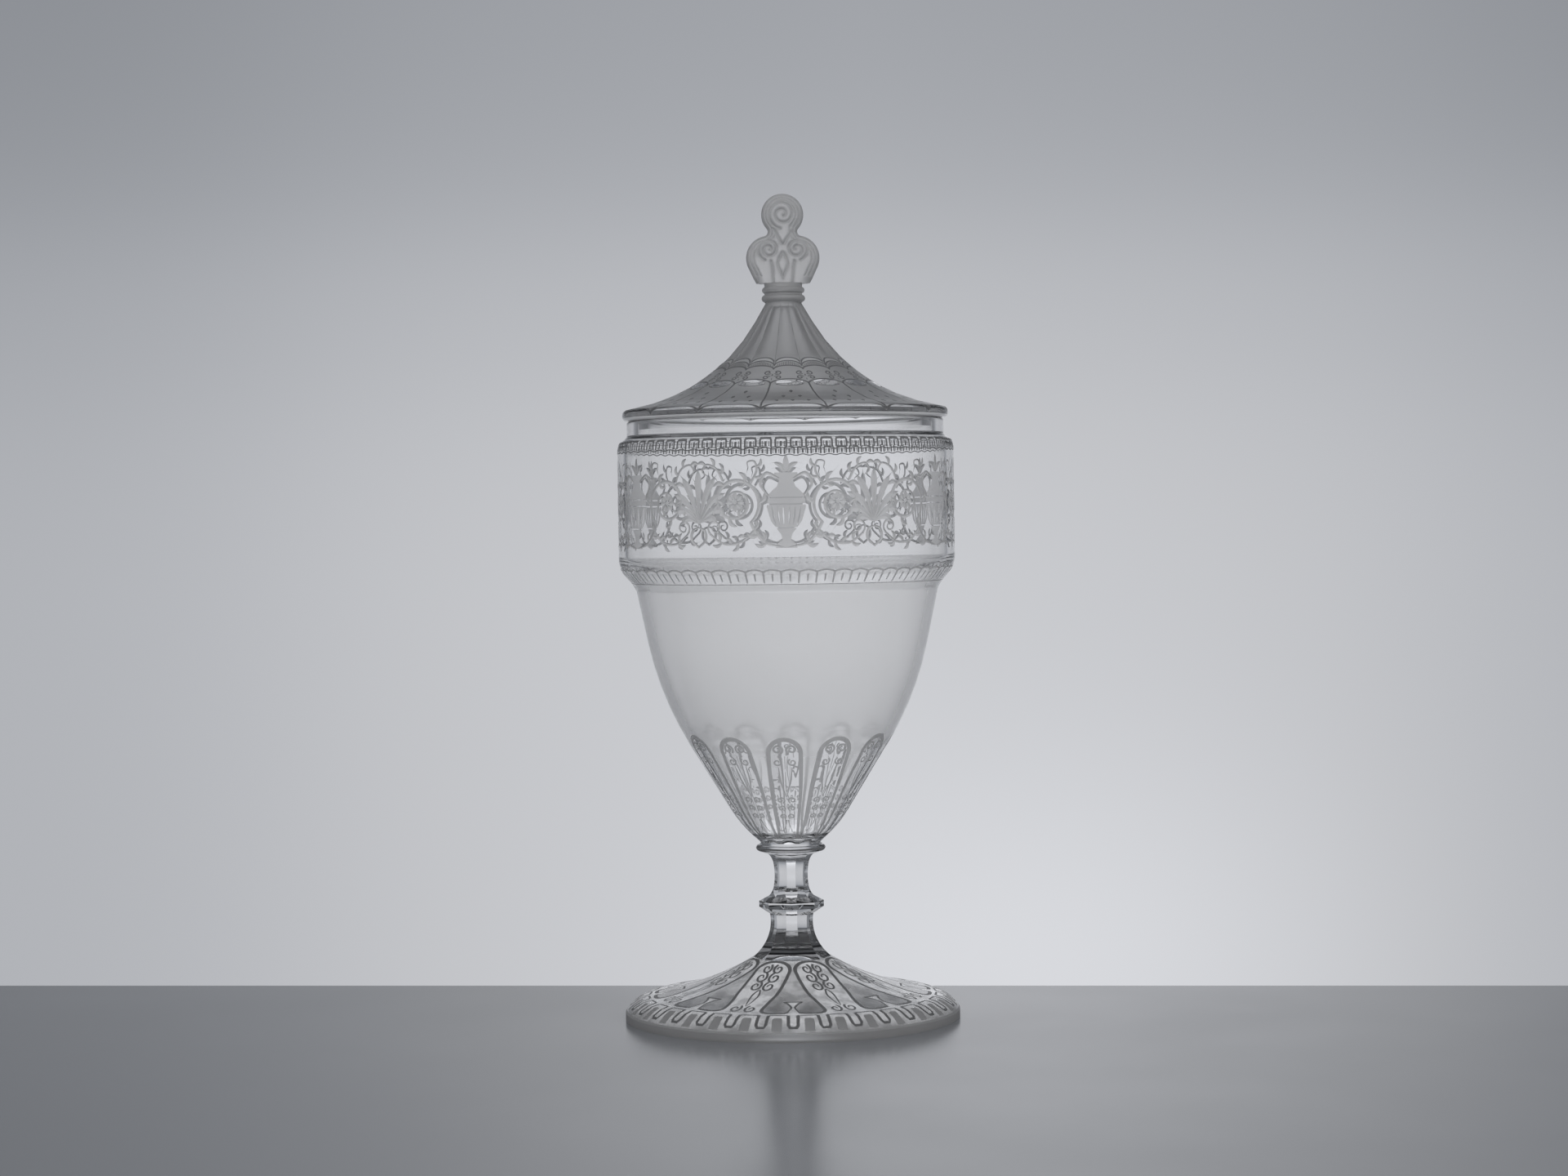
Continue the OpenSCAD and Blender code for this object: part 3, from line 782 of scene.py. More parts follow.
def buildRings(name, sides, rings, smoothAngle):
    # a disc drawn up ring by ring, then shaded
    low, radius = rings[0]
    bpy.ops.object.select_all(action="DESELECT")
    bpy.ops.mesh.primitive_circle_add(vertices=sides, radius=radius * mm, fill_type="NGON",
                                      location=(0, 0, low * mm))
    piece = bpy.context.object
    piece.name = name
    bpy.ops.object.mode_set(mode="EDIT")
    bpy.ops.mesh.select_all(action="SELECT")
    for (z0, r0), (z1, r1) in zip(rings, rings[1:]):
        bpy.ops.mesh.extrude_region_move(TRANSFORM_OT_translate={"value": (0, 0, (z1 - z0) * mm)})
        bpy.ops.transform.resize(value=(r1 / r0, r1 / r0, 1), center_override=(0, 0, z1 * mm))
    bpy.ops.mesh.select_all(action="SELECT")
    bpy.ops.mesh.normals_make_consistent(inside=False)
    bpy.ops.object.mode_set(mode="OBJECT")
    bpy.ops.object.transform_apply(location=True, rotation=True, scale=True)
    bpy.ops.object.shade_smooth_by_angle(angle=math.radians(smoothAngle))
    return piece


def paintEnds(piece, sidePaint, endPaint):
    piece.data.materials.append(paints[sidePaint])
    piece.data.materials.append(paints[endPaint])
    heights = [v.co.z for v in piece.data.vertices]
    for face in piece.data.polygons:
        atEnd = face.center.z < min(heights) + 1e-6 or face.center.z > max(heights) - 1e-6
        face.material_index = 1 if atEnd else 0


def makeStem():
    for name, shape in stemShape.items():
        rings = [(z, facet / math.cos(math.pi / stemSides)) for z, facet in shape["rings"]]
        piece = buildRings(name, stemSides, rings, stemCrease)
        paintEnds(piece, "clearGlass", "jointGlass")
        seatPiece(piece, "goblet", shape["node"])
        print("made", name)


makeStem()


# merese
mereseShape = {
    "line": [(0, 73.7), (11.6, 73.7), (14.05, 74.6), (15.1, 75.05, 0, 1.5), (15.55, 76.1, 0, 1.5),
             (15.1, 77.15, 0, 1.5), (14.05, 77.6, 0, 1.5), (13.4, 78.5), (0, 78.5)],
    "arcStep": 12, "low": (11.6, 73.7), "edge": (15.55, 76.1), "high": (13.4, 78.5), "stemCorner": 10.815,
    "columns": 256, "beads": 64, "beadBand": 2.5, "beadUp": 1.3, "bead": (0.45, 0.55), "beadLine": 0.24,
    "edgeShadeHalf": 0.3, "beadStep": 0.8, "rowStep": 1.5,
}


def makeMerese():
    shape = mereseShape
    line = turnedLine(shape["line"], shape["arcStep"])
    skin = newSkin()
    columns, beads = shape["columns"], shape["beads"]
    lowR, lowZ = shape["low"]
    jointDisc(skin, lowZ, lowR, shape["stemCorner"], columns, -1, "clearGlass")
    low, edge, high = [lengthAt(line, shape[corner]) for corner in ("low", "edge", "high")]
    top, rim = low + shape["beadBand"], shape["edgeShadeHalf"]
    wide, tall = shape["bead"]
    middle = low + shape["beadUp"]
    bead = []
    diamond = [(-wide, middle), (0, middle - tall), (wide, middle), (0, middle + tall), (-wide, middle)]
    stroke(bead, diamond, shape["beadLine"])
    engraveBand(skin, line, 0, 1, low, top, beads, 0, bead, columns // beads, shape["beadStep"], "clearGlass")
    # painted shade: a thin dark ring round the widest edge, for the dark edge of the lens
    ends = (top, edge - rim, edge + rim, high)
    for start, end, paint in zip(ends, ends[1:], ("clearGlass", "darkLine", "clearGlass")):
        turnBand(skin, line, start, end, columns, paint, shape["rowStep"])
    turnBand(skin, line, high, line["lengths"][-1], columns, "jointGlass", jointStep)
    finishPiece("beadedMerese", skin, "goblet", "merese")


makeMerese()


# bowl
bowlShape = {
    "seat": (13.4, 78.5), "base": (22.7, 87.1, 55), "bend": (57.3, 143.8, 145), "waist": (67.5, 192, 3.8),
    "ovolo": [(69.4, 195.2), (74.2, 200.7, 9)], "drum": [(75.2, 205.1), (75.2, 254.5)],
    "neck": [(74.6, 257.7, 2.5), (72.2, 259.4), (70.9, 260.7, 1), (70.9, 267.4, 1), (66.9, 267.4),
             (65.9, 266.5)],
    "inside": [(65.9, 259.5, 2.5), (71.4, 257.5, 2.5), (71.4, 205.1, 8)], "wall": 3.8,
    "floor": 82.3, "floorR": 7.6, "bendInR": 141.2, "columns": 180,
    "lappets": 12, "lappetTurn": -3, "lappetTop": 79,
    "flatTop": 66, "flatFade": 12, "seatFade": 4, "flatDepth": 0.25,
    "bellyTop": 143.2, "tongues": 60, "tongueTurn": 1, "drumLow": 156.59, "drumTop": 204.2, "friezes": 6,
    "arches": 36, "archTurn": 1, "archTop": 211.6, "steps": (2.5, 4, 1.5, 6, 2, 5),
}


def bowlLine():
    shape = bowlShape
    seat, base, bend, waist = shape["seat"], shape["base"], shape["bend"], shape["waist"]
    baseIn = insetCorner(seat, base, bend, shape["wall"])
    bendIn = insetCorner(base, bend, waist, shape["wall"])
    waistIn = insetCorner(bend, waist, shape["ovolo"][0], shape["wall"])
    t = (shape["floor"] - baseIn[1]) / (bendIn[1] - baseIn[1])
    edge = (baseIn[0] + (bendIn[0] - baseIn[0]) * t, shape["floor"], shape["floorR"])
    inside = [*shape["inside"], (*waistIn, shape["wall"]), (*bendIn, shape["bendInR"])]
    inside += [edge, (0, shape["floor"])]
    outside = [(0, seat[1]), seat, base, bend, waist, *shape["ovolo"], *shape["drum"], *shape["neck"]]
    return turnedLine(outside + inside)


def lappetDrawing():
    # round-topped panel with scrolls, in ground glass that thins out downwards
    headX, headUp, headTall = 7.15, 66, 7.2
    edge = curve((3.8, 17.6), (4.45, 25), (5.1, 32), (5.9, 40), (6.45, 47), (6.9, 56), (headX, headUp),
                 count=4)
    turns = [math.radians(a) for a in range(10, 91, 10)]
    edge += [(headX * math.cos(a), headUp + headTall * math.sin(a)) for a in turns]
    whole, right = [], []
    wide, ends = 20, (64, 52, 40, 23, bowlShape["seat"][0])
    for high, low, paint in zip(ends, ends[1:], ("fadingHigh", "fadingMiddle", "fadingLow", "clearGlass")):
        fill(whole, [(-wide, low), (wide, low), (wide, high), (-wide, high)], paint)
    fill(whole, bothSides(edge), "clearGlass")
    stroke(right, edge, [1.2, 1.3, 1.5, 1.8, 2.2, 2.2])
    stroke(right, scroll(3.1, 68.0, 2.5, 235, -1.45), [1.0, 1.0, 0.6])
    stroke(right, scroll(3.3, 61.2, 2.0, 120, 1.3), [0.9, 0.8, 0.5])
    stroke(right, curve((2.9, 58.6), (2.4, 52), (1.0, 46), (0.25, 42.6)), [0.3, 0.85, 0.6, 0.2])
    for x, s, size in ((2.5, 40.6, 1.75), (2.25, 36.2, 1.6), (1.95, 31.8, 1.45)):
        stroke(right, scroll(x, s, size, 240, -1.3), [0.8, 0.7, 0.5])
    stroke(right, curve((0.3, 29.8), (0.9, 26.3), (1.9, 22.4)), [0.6, 0.45, 0.2])
    stroke(whole, [(0, 64.6), (0, 57.5)], [0.3, 0.7, 0.3])
    stroke(whole, [(0, 56), (0, 49), (0, 42)], [0.2, 0.5, 0.2])
    return whole + mirrored(right)


def tongueDrawing(line):
    # small arcs with long and short strokes under them
    half = math.pi / bowlShape["tongues"]
    top, reach = bowlShape["drumLow"], 4.2
    across = [k * 0.42 for k in range(-10, 11)]
    arc = [(x, 152.2 + 0.95 * math.cos(math.pi * x / 7.7)) for x in across]
    whole, right = [], []
    fill(whole, arc + [(reach, top), (-reach, top)], "clearGlass")
    stroke(whole, arc, 0.85)
    stroke(right, [(half * along(line, s)[0], s) for s in (152.0, 149, 145.9)], [1.0, 0.9, 0.7])
    stroke(whole, [(0, 151.2), (0, 149.2), (0, 147.0)], [0.9, 0.8, 0.6])
    stroke(whole, [(-reach, 145.2), (reach, 145.2)], 0.45)
    return whole + mirrored(right)


def archDrawing():
    # two arches with a short bar in each, a thread through them and a swag under them
    right = []
    middle, pitch, step = 3.27, 6.54, 0.41

    def dark(spots, width):
        stroke(right, spots, width, "darkLine")

    for side in (-1, 1):
        leg, inner = middle + side * 2.35, middle + side * 1.4
        dark([(leg, 205.4), (leg, 208.6), (middle + side * 2.0, 209.2)], 0.85)
        dark([(inner, 205.8), (inner, 208.1)], 0.3)
    dark([(middle - 2.4, 209.4), (middle, 209.6), (middle + 2.4, 209.4)], 1.25)
    dark([(middle, 208.0), (middle, 205.8)], 0.95)
    dark([(0, 207.3), (6.8, 207.3)], 0.2)
    dark([(k * step, 204.95 - 0.3 * math.cos(2 * math.pi * k * step / pitch)) for k in range(17)], 0.45)
    return mirrored(right)


def leaf(drawing, x, y, angle, size, bend, wide=0.36):
    # curved leaf, cut deepest along its rib
    a, b = math.radians(angle), math.radians(angle + bend)
    middle = (x + 0.5 * size * math.cos(a), y + 0.5 * size * math.sin(a))
    tip = (middle[0] + 0.5 * size * math.cos(b), middle[1] + 0.5 * size * math.sin(b))
    widths = [size * wide * w for w in (0.3, 0.75, 1.0, 0.95, 0.6, 0.05)]
    stroke(drawing, curve((x, y), middle, tip, count=4), widths, "figureGlass", 0.35)


def leafRow(drawing, line, places, size, side):
    # leaves along one side of a line
    lean, curl = 62, 48
    for k in places:
        angle = math.degrees(heading(line[k], line[k + 1])) + side * lean
        leaf(drawing, *line[k], angle, size, -side * curl)


def rosette(drawing, x, y, radius, petals):
    for k in range(petals):
        a = 2 * math.pi * k / petals
        line = [(x + radius * f * math.cos(a), y + radius * f * math.sin(a)) for f in (0.3, 0.55, 0.8, 1.0)]
        stroke(drawing, line, [w * radius for w in (0.2, 0.5, 0.58, 0.25)], "figureGlass", 0.3)
    core, turns = radius * 0.24, [0.7 * k for k in range(9)]
    fill(drawing, [(x + core * math.cos(a), y + core * math.sin(a)) for a in turns], "figureGlass")


def drumDrawing():
    # urn between leafy scrolls with rosettes, a palmette where two cells meet
    right, whole = [], []

    def vine(line, width, *leaves):
        # stalk with rows of leaves (places, size, side)
        stroke(right, line, width, "figureGlass", 0.3)
        for row in leaves:
            leafRow(right, line, *row)

    urn = [(0, 162.6), (4.6, 162.6), (4.4, 164.2), (1.7, 165.8), (2.4, 168.4), (6.6, 174), (8.4, 180),
           (7.6, 185.4), (3.9, 188.8), (3.0, 191.2), (4.9, 193.2), (4.9, 194.6), (0, 194.6)]
    fill(right, urn, "figureGlass")
    for height, w in ((181.2, 0.6), (184, 0.45), (171.2, 0.5)):
        stroke(right, [(0, height), (9, height)], w, "clearGlass")
    for k in range(3):
        gadroon = [(1.1 + 1.7 * k, 172.2), (1.3 + 2.1 * k, 176), (1.4 + 2.4 * k, 180.4)]
        stroke(right, gadroon, [0.2, 0.8, 0.2], "clearGlass")
    vine(curve((3.6, 192.4), (8.4, 194.4), (11, 189.8), (7.6, 184.8)), [0.9, 1.5, 1.3, 0.7])
    leaf(whole, 0, 195, 90, 7.2, 0)
    leaf(right, 0.6, 195, 58, 6.2, -34)
    x, y = 22.2, 182.2
    vine(scroll(x, y, 11.2, 232, -1.6, 0.3, 46), [1.3, 1.7, 1.4, 1.0],
         ((4, 9, 14, 19, 24), 5.6, 1), ((9, 18, 27), 4.4, -1))
    rosette(right, x, y, 3.9, 8)
    vine(curve((4.4, 163.6), (8.6, 164.8), (12.6, 168.6), (15.3, 173.4)), [0.9, 1.4, 1.6, 1.4],
         ((8, 15), 5.6, -1), ((10, 19), 4.6, 1))
    vine(curve((13.6, 170.2), (20, 165.2), (27.5, 164.6), (33.6, 168.6)), [1.4, 1.2, 0.9],
         ((9, 17), 4.8, -1), ((5, 12, 18), 4.6, 1))
    vine(scroll(31.6, 171.4, 3.4, -52, 1.4, 0.2, 22), [1.0, 0.9, 0.6])
    vine(curve((27.6, 191.6), (30.6, 196.6), (35.2, 198.4), (37.2, 195.6), (35.2, 193.8)), [1.2, 0.9, 0.5],
         ((4, 10, 17), 4.6, 1))
    vine(curve((15, 190.6), (12.6, 195.4), (13.4, 199.4), (16.4, 199.2), (16.2, 196.8)), [1.2, 0.9, 0.5],
         ((4, 11), 4.4, 1))
    edge, root = 39.37, 173.4
    for k, reach in enumerate((22.5, 21, 18, 14, 9.5)):
        a, b = math.radians(90 + 17 * k), math.radians(90 + 30 * k)
        knee = (edge + 0.6 * reach * math.cos(a), root + 0.6 * reach * math.sin(a))
        tip = (knee[0] + 0.4 * reach * math.cos(b), knee[1] + 0.4 * reach * math.sin(b))
        widths = [0.5, 1.1, 1.9, 2.8, 3.3, 2.6, 0.5]
        stroke(right, curve((edge, root), knee, tip, count=5), widths, "figureGlass", 0.35)
    vine(curve((edge, 171.6), (36.4, 170.2), (36, 166.2), (edge, 163.2)), [0.6, 1.5, 1.0])
    return whole + mirrored(right)


def makeBowl():
    shape, line = bowlShape, bowlLine()
    skin = newSkin()
    columns = shape["columns"]
    seat = lengthAt(line, shape["seat"])

    def lappetFlat(angle, length):
        # each lappet is cut flat, and the cut runs out above its head
        r = along(line, length)[0]
        fade = min(max((shape["flatTop"] - length) / shape["flatFade"], 0), 1)
        fade *= min(max((length - seat) / shape["seatFade"], 0), 1)
        return max(0, r - (r - shape["flatDepth"]) / math.cos(angle)) * fade

    def engrave(low, high, cells, turn, drawing, *rest):
        engraveBand(skin, line, 0, 1, low, high, cells, turn, drawing, columns // cells, *rest)

    lappetTop, bellyTop, drumLow = shape["lappetTop"], shape["bellyTop"], shape["drumLow"]
    drumTop, archTop = shape["drumTop"], shape["archTop"]
    lappetStep, bellyStep, tongueStep, friezeStep, archStep, neckStep = shape["steps"]
    turnBand(skin, line, 0, seat, columns, "jointGlass", jointStep)
    engrave(seat, lappetTop, shape["lappets"], shape["lappetTurn"], lappetDrawing(), lappetStep,
            "satinGlass", lappetFlat)
    turnBand(skin, line, lappetTop, bellyTop, columns, "satinGlass", bellyStep)
    engrave(bellyTop, drumLow, shape["tongues"], shape["tongueTurn"], tongueDrawing(line), tongueStep,
            "satinGlass")
    engrave(drumLow, drumTop, shape["friezes"], 0, drumDrawing(), friezeStep, "clearGlass")
    engrave(drumTop, archTop, shape["arches"], shape["archTurn"], archDrawing(), archStep, "clearGlass")
    turnBand(skin, line, archTop, line["lengths"][-1], columns, "clearGlass", neckStep)
    finishPiece("engravedBowl", skin, "goblet", "bowl")


makeBowl()


# cover
coverShape = {
    "rim": (72.85, 272.2, 2.2), "rimLow": (72.85, 267.5, 2.2), "bend": (31, 281.5, 80), "top": (7.95, 320),
    "wall": 4, "hollowTop": 317.5, "flange": (61.4, 65.4, 263.5), "bendInR": 60, "rimInR": 2,
    "bead": (70.65, 267.5), "archSteps": 12,
    "columns": 192, "rowStep": 2.5, "gores": 16, "goreTurn": 3.0, "skirt": 86.6, "cut": 0.22,
    "flute": 0.045, "fluteEnd": 34, "fluteFade": 5, "fluteStart": 3,
    "scallops": ((31.25, 36.9, 0.75), (34.1, 38.0, 0.6), (37.5, 40.4, 0.75)), "scallopBars": 7,
    "lunette": (48.2, 52.8), "lensWide": 6.3, "fringe": (82.6, 2.9),
    "dots": ((60.7, (0,)), (67.4, (0.32,)), (74.8, (0, 0.55))), "dotTall": 1.4,
}


def coverLine():
    shape = coverShape
    rim, bend, top, wall, cap = [shape[name] for name in ("rim", "bend", "top", "wall", "hollowTop")]
    inner, outer, low = shape["flange"]
    bendIn = insetCorner(rim, bend, top, wall)
    t = (inner - bendIn[0]) / (rim[0] - bend[0])
    rimIn = (inner, bendIn[1] + (rim[1] - bend[1]) * t, shape["rimInR"])
    t = (cap - bendIn[1]) / (top[1] - bend[1])
    capR = bendIn[0] + (top[0] - bend[0]) * t
    hollow = [(0, cap), (capR, cap, capR / 2), (*bendIn, shape["bendInR"]), rimIn, (inner, low), (outer, low)]
    return turnedLine([*hollow, (outer, shape["rimLow"][1]), shape["rimLow"], rim, bend, top, (0, top[1])])


def coverDrawing(line, origin):
    # one gore: scallops, lunette, dots and festoon; lengths run down from the top
    shape = coverShape
    half, steps = math.pi / shape["gores"], shape["archSteps"]
    right, whole = [], []

    def at(share, v):
        return (share * half * along(line, origin - v)[0], v)

    def arch(apex, cusp):
        spots = []
        for k in range(steps + 1):
            f = math.sin(math.pi / 2 * k / steps)
            spots.append(at(f * 1.01, apex + (cusp - apex) * (1 - (1 - f ** 2) ** 0.5)))
        return spots

    def cut(spots, width, paint="cutLine", drawing=right):
        stroke(drawing, spots, width, paint, shape["cut"])

    scallops = [arch(apex, cusp) for apex, cusp, _ in shape["scallops"]]
    fill(right, scallops[0] + scallops[1][::-1], "carvedGlass")
    bars = shape["scallopBars"]
    for k in range(bars):
        f = (k + 0.5) / (bars + 0.5)
        i = min(int(f * steps), steps - 1)
        cut([at(f, scallops[1][i][1] + 0.5), at(f, scallops[2][i][1] - 0.3)], 0.28)
    for ring, (_, _, width) in zip(scallops, shape["scallops"]):
        cut(ring, width)
    cut([at(1, v) for v in (1, 10, 20, 30, 36)], [0.2, 0.3, 0.5], "groundGlass")

    # curls and drops where two gores meet
    edge, lowEdge = at(1, 44.5)[0], at(1, 48)[0]
    cut(scroll(edge - 2.4, 42.9, 1.7, 30, 1.25), [0.5, 0.7, 0.5])
    cut(scroll(edge - 2.2, 46.9, 1.6, -30, -1.25), [0.5, 0.7, 0.5])
    cut([(edge, 41.2), (edge, 43.6)], [0.3, 1.0, 0.3])
    cut([(edge, 44.2), (edge, 45.2)], [0.5, 1.1, 0.5])
    cut([(lowEdge, 46.2), (lowEdge, 48.6)], [0.3, 1.0, 0.3])

    lunette = arch(*shape["lunette"])
    lens = [spot for spot in lunette if spot[0] < shape["lensWide"]]
    foot = [(x, 54.6 - 2.0 * (x / 6.6) ** 2) for x in (6.0, 4.8, 3.6, 2.4, 1.2, 0.0)]
    fill(right, lens + foot, "clearGlass")
    cut(foot, 0.6)
    cut(lunette, 0.85)
    cut([at(1, v) for v in (52.8, 60, 70, 80, 85.2)], [0.8, 0.7, 0.8, 1.0])
    high, drop = shape["fringe"]
    fringe = [at(k / steps, high + drop * (k / steps) ** 5) for k in range(steps + 1)]
    rim = shape["skirt"]
    fill(right, [*fringe, at(1.02, 85.5), at(1.02, rim), at(0, rim)], "clearGlass")
    cut(fringe, [0.7, 0.7, 1.0])
    for row, shares in shape["dots"]:
        for share in shares:
            dot = [(at(share, row)[0], row + up) for up in (-shape["dotTall"], 0, shape["dotTall"])]
            cut(dot, [0.7, 1.8, 0.7], drawing=right if share else whole)
    return whole + mirrored(right)


def makeCover():
    shape, line = coverShape, coverLine()
    skin = newSkin()
    columns, gores, turn = shape["columns"], shape["gores"], shape["goreTurn"]
    top, bead = lengthAt(line, shape["top"]), lengthAt(line, shape["bead"])
    half = math.pi / gores

    def flute(angle, length):
        # hollow flutes that run out above the scallops
        v = top - length
        fade = min(max((shape["fluteEnd"] - v) / shape["fluteFade"], 0), 1) * min(v / shape["fluteStart"], 1)
        return shape["flute"] * along(line, length)[0] * (1 - (angle / half) ** 2) * fade if fade > 0 else 0

    turnBand(skin, line, 0, bead, columns, "clearGlass", turn=turn)
    # painted highlight on the bead under the skirt
    turnBand(skin, line, bead, top - shape["skirt"], columns, "rimGlass", turn=turn)
    engraveBand(skin, line, top, -1, 0, shape["skirt"], gores, turn, coverDrawing(line, top),
                columns // gores, shape["rowStep"], "coverGlass", flute)
    turnBand(skin, line, top, line["lengths"][-1], columns, "jointGlass", jointStep, turn)
    finishPiece("cutCover", skin, "lid", "cover")


makeCover()


# collar: turned rings (height, radius, tube) under the finial
collarShape = {
    "core": 8.45, "low": 320, "high": 328.6, "rings": ((321.8, 8.15, 1.6), (325.5, 8.1, 1.4)),
    "sides": 96, "steps": 16, "crease": 40,
}


def makeCollar():
    shape = collarShape
    core, steps = shape["core"], shape["steps"]
    rings = [(shape["low"], core)]
    for z, r, tube in shape["rings"]:
        reach = math.sqrt(tube ** 2 - (r - core) ** 2)
        start = math.atan2(-reach, core - r)
        turns = [start + (-2 * start) * k / steps for k in range(steps + 1)]
        rings += [(z + tube * math.sin(a), r + tube * math.cos(a)) for a in turns]
    rings.append((shape["high"], core))
    piece = buildRings("turnedCollar", shape["sides"], rings, shape["crease"])
    paintEnds(piece, "groundGlass", "jointGlass")
    seatPiece(piece, "lid", "collar")
    print("made turnedCollar")


makeCollar()


# finial: pillow-shaped, three lobes with cut volutes
finialShape = {
    "base": 328.6, "thick": 5.0, "edge": 5.0, "top": (30.6, 9.4), "low": (6.4, 11.3, 10.0), "fillet": 2.0,
    "foot": 12.0, "heel": (1.2, 2.2), "lobeStart": -28, "reach": 17, "tall": 41, "step": 0.32, "crease": 50,
    "groove": 0.85, "grooveWide": 0.75,
    "threads": (1.9, 3.4), "threadDepth": 0.7, "threadWide": 0.6, "threadLow": 3,
    "rimShadeReach": 0.35, "limbShadeReach": 1.1, "grooveShadeCut": 0.5, "lobeSteps": 24, "filletSteps": 8, "rowShare": 0.866,
}


def arcSpots(x, y, radius, start, end, count):
    turns = [start + (end - start) * k / count for k in range(count + 1)]
    return [(x + radius * math.cos(a), y + radius * math.sin(a)) for a in turns]


def finialOutline():
    # right half from the foot to the top, then mirrored; (across, up) in mm
    shape = finialShape
    topUp, topR = shape["top"]
    lowX, lowUp, lowR = shape["low"]
    f, foot = shape["fillet"], shape["foot"]
    span = math.hypot(lowX, topUp - lowUp)
    a, b = topR + f, lowR + f
    share = (a * a - b * b + span * span) / (2 * span)
    lift = math.sqrt(a * a - share * share)
    ux, uy = lowX / span, (lowUp - topUp) / span
    cx, cy = ux * share - uy * lift, topUp + uy * share + ux * lift
    half = [(foot, 0), (foot + shape["heel"][0], shape["heel"][1])]
    start, end = math.radians(shape["lobeStart"]), math.atan2(cy - lowUp, cx - lowX)
    half += arcSpots(lowX, lowUp, lowR, start, end, shape["lobeSteps"])
    turns = (math.atan2(lowUp - cy, lowX - cx), math.atan2(topUp - cy, -cx))
    half += arcSpots(cx, cy, f, *[turn % (2 * math.pi) for turn in turns], shape["filletSteps"])[1:-1]
    half += arcSpots(0, topUp, topR, math.atan2(cy - topUp, cx), math.pi / 2, shape["lobeSteps"])
    return half + [(-x, y) for x, y in half[-2::-1]]


def finialGrooves():
    left = [scroll(-6.3, 14.8, 5.2, 250, -1.75, 0.16, 40), curve((-5.2, 9.4), (-4.6, 5), (-4.2, 0.8))]
    left += [curve((-0.2, 13.4), (-2.1, 8.6), (-0.2, 2.4))]
    grooves = left + [[(-x, y) for x, y in line] for line in left]
    grooves.append(scroll(0, 30.4, 6.6, 262, -1.9, 0.14, 48))
    grooves.append(curve((-4.2, 24.3), (-1.6, 19.6), (0, 17), (1.6, 19.2), (4.2, 23)))
    return grooves


def distanceTo(spots, line):
    # distance of each spot to a line of points
    best = np.full(len(spots), 1e9)
    for a, b in zip(np.array(line[:-1]), np.array(line[1:])):
        d = b - a
        t = np.clip(((spots - a) @ d) / max(d @ d, 1e-12), 0, 1)
        best = np.minimum(best, np.linalg.norm(spots - a - t[:, None] * d, axis=1))
    return best


def finialNet(outline):
    # even net of triangles inside the outline
    shape = finialShape
    step, reach = shape["step"], shape["reach"]
    border = []
    for a, b in zip(outline, outline[1:] + outline[:1]):
        count = max(1, math.ceil(math.dist(a, b) / step))
        border += [(a[0] + (b[0] - a[0]) * k / count, a[1] + (b[1] - a[1]) * k / count) for k in range(count)]
    xs = np.arange(-reach, reach + 0.01, step)
    ys = np.arange(0, shape["tall"], step * shape["rowShare"])
    grid = np.array([(x + (step / 2 if j % 2 else 0), y) for j, y in enumerate(ys) for x in xs])
    inside = np.zeros(len(grid), bool)
    for (x0, y0), (x1, y1) in zip(border, border[1:] + border[:1]):
        beside = grid[:, 0] < (x1 - x0) * (grid[:, 1] - y0) / (y1 - y0 + 1e-15) + x0
        inside ^= ((y0 > grid[:, 1]) != (y1 > grid[:, 1])) & beside
    grid = grid[inside]
    grid = grid[distanceTo(grid, border + border[:1]) > step * 0.5]
    coords = [Vector(p) for p in border] + [Vector(p) for p in grid]
    spots, _, triangles, _, _, _ = delaunay_2d_cdt(coords, [], [list(range(len(border)))], 1, 1e-5)
    return np.array([(p.x, p.y) for p in spots]), triangles


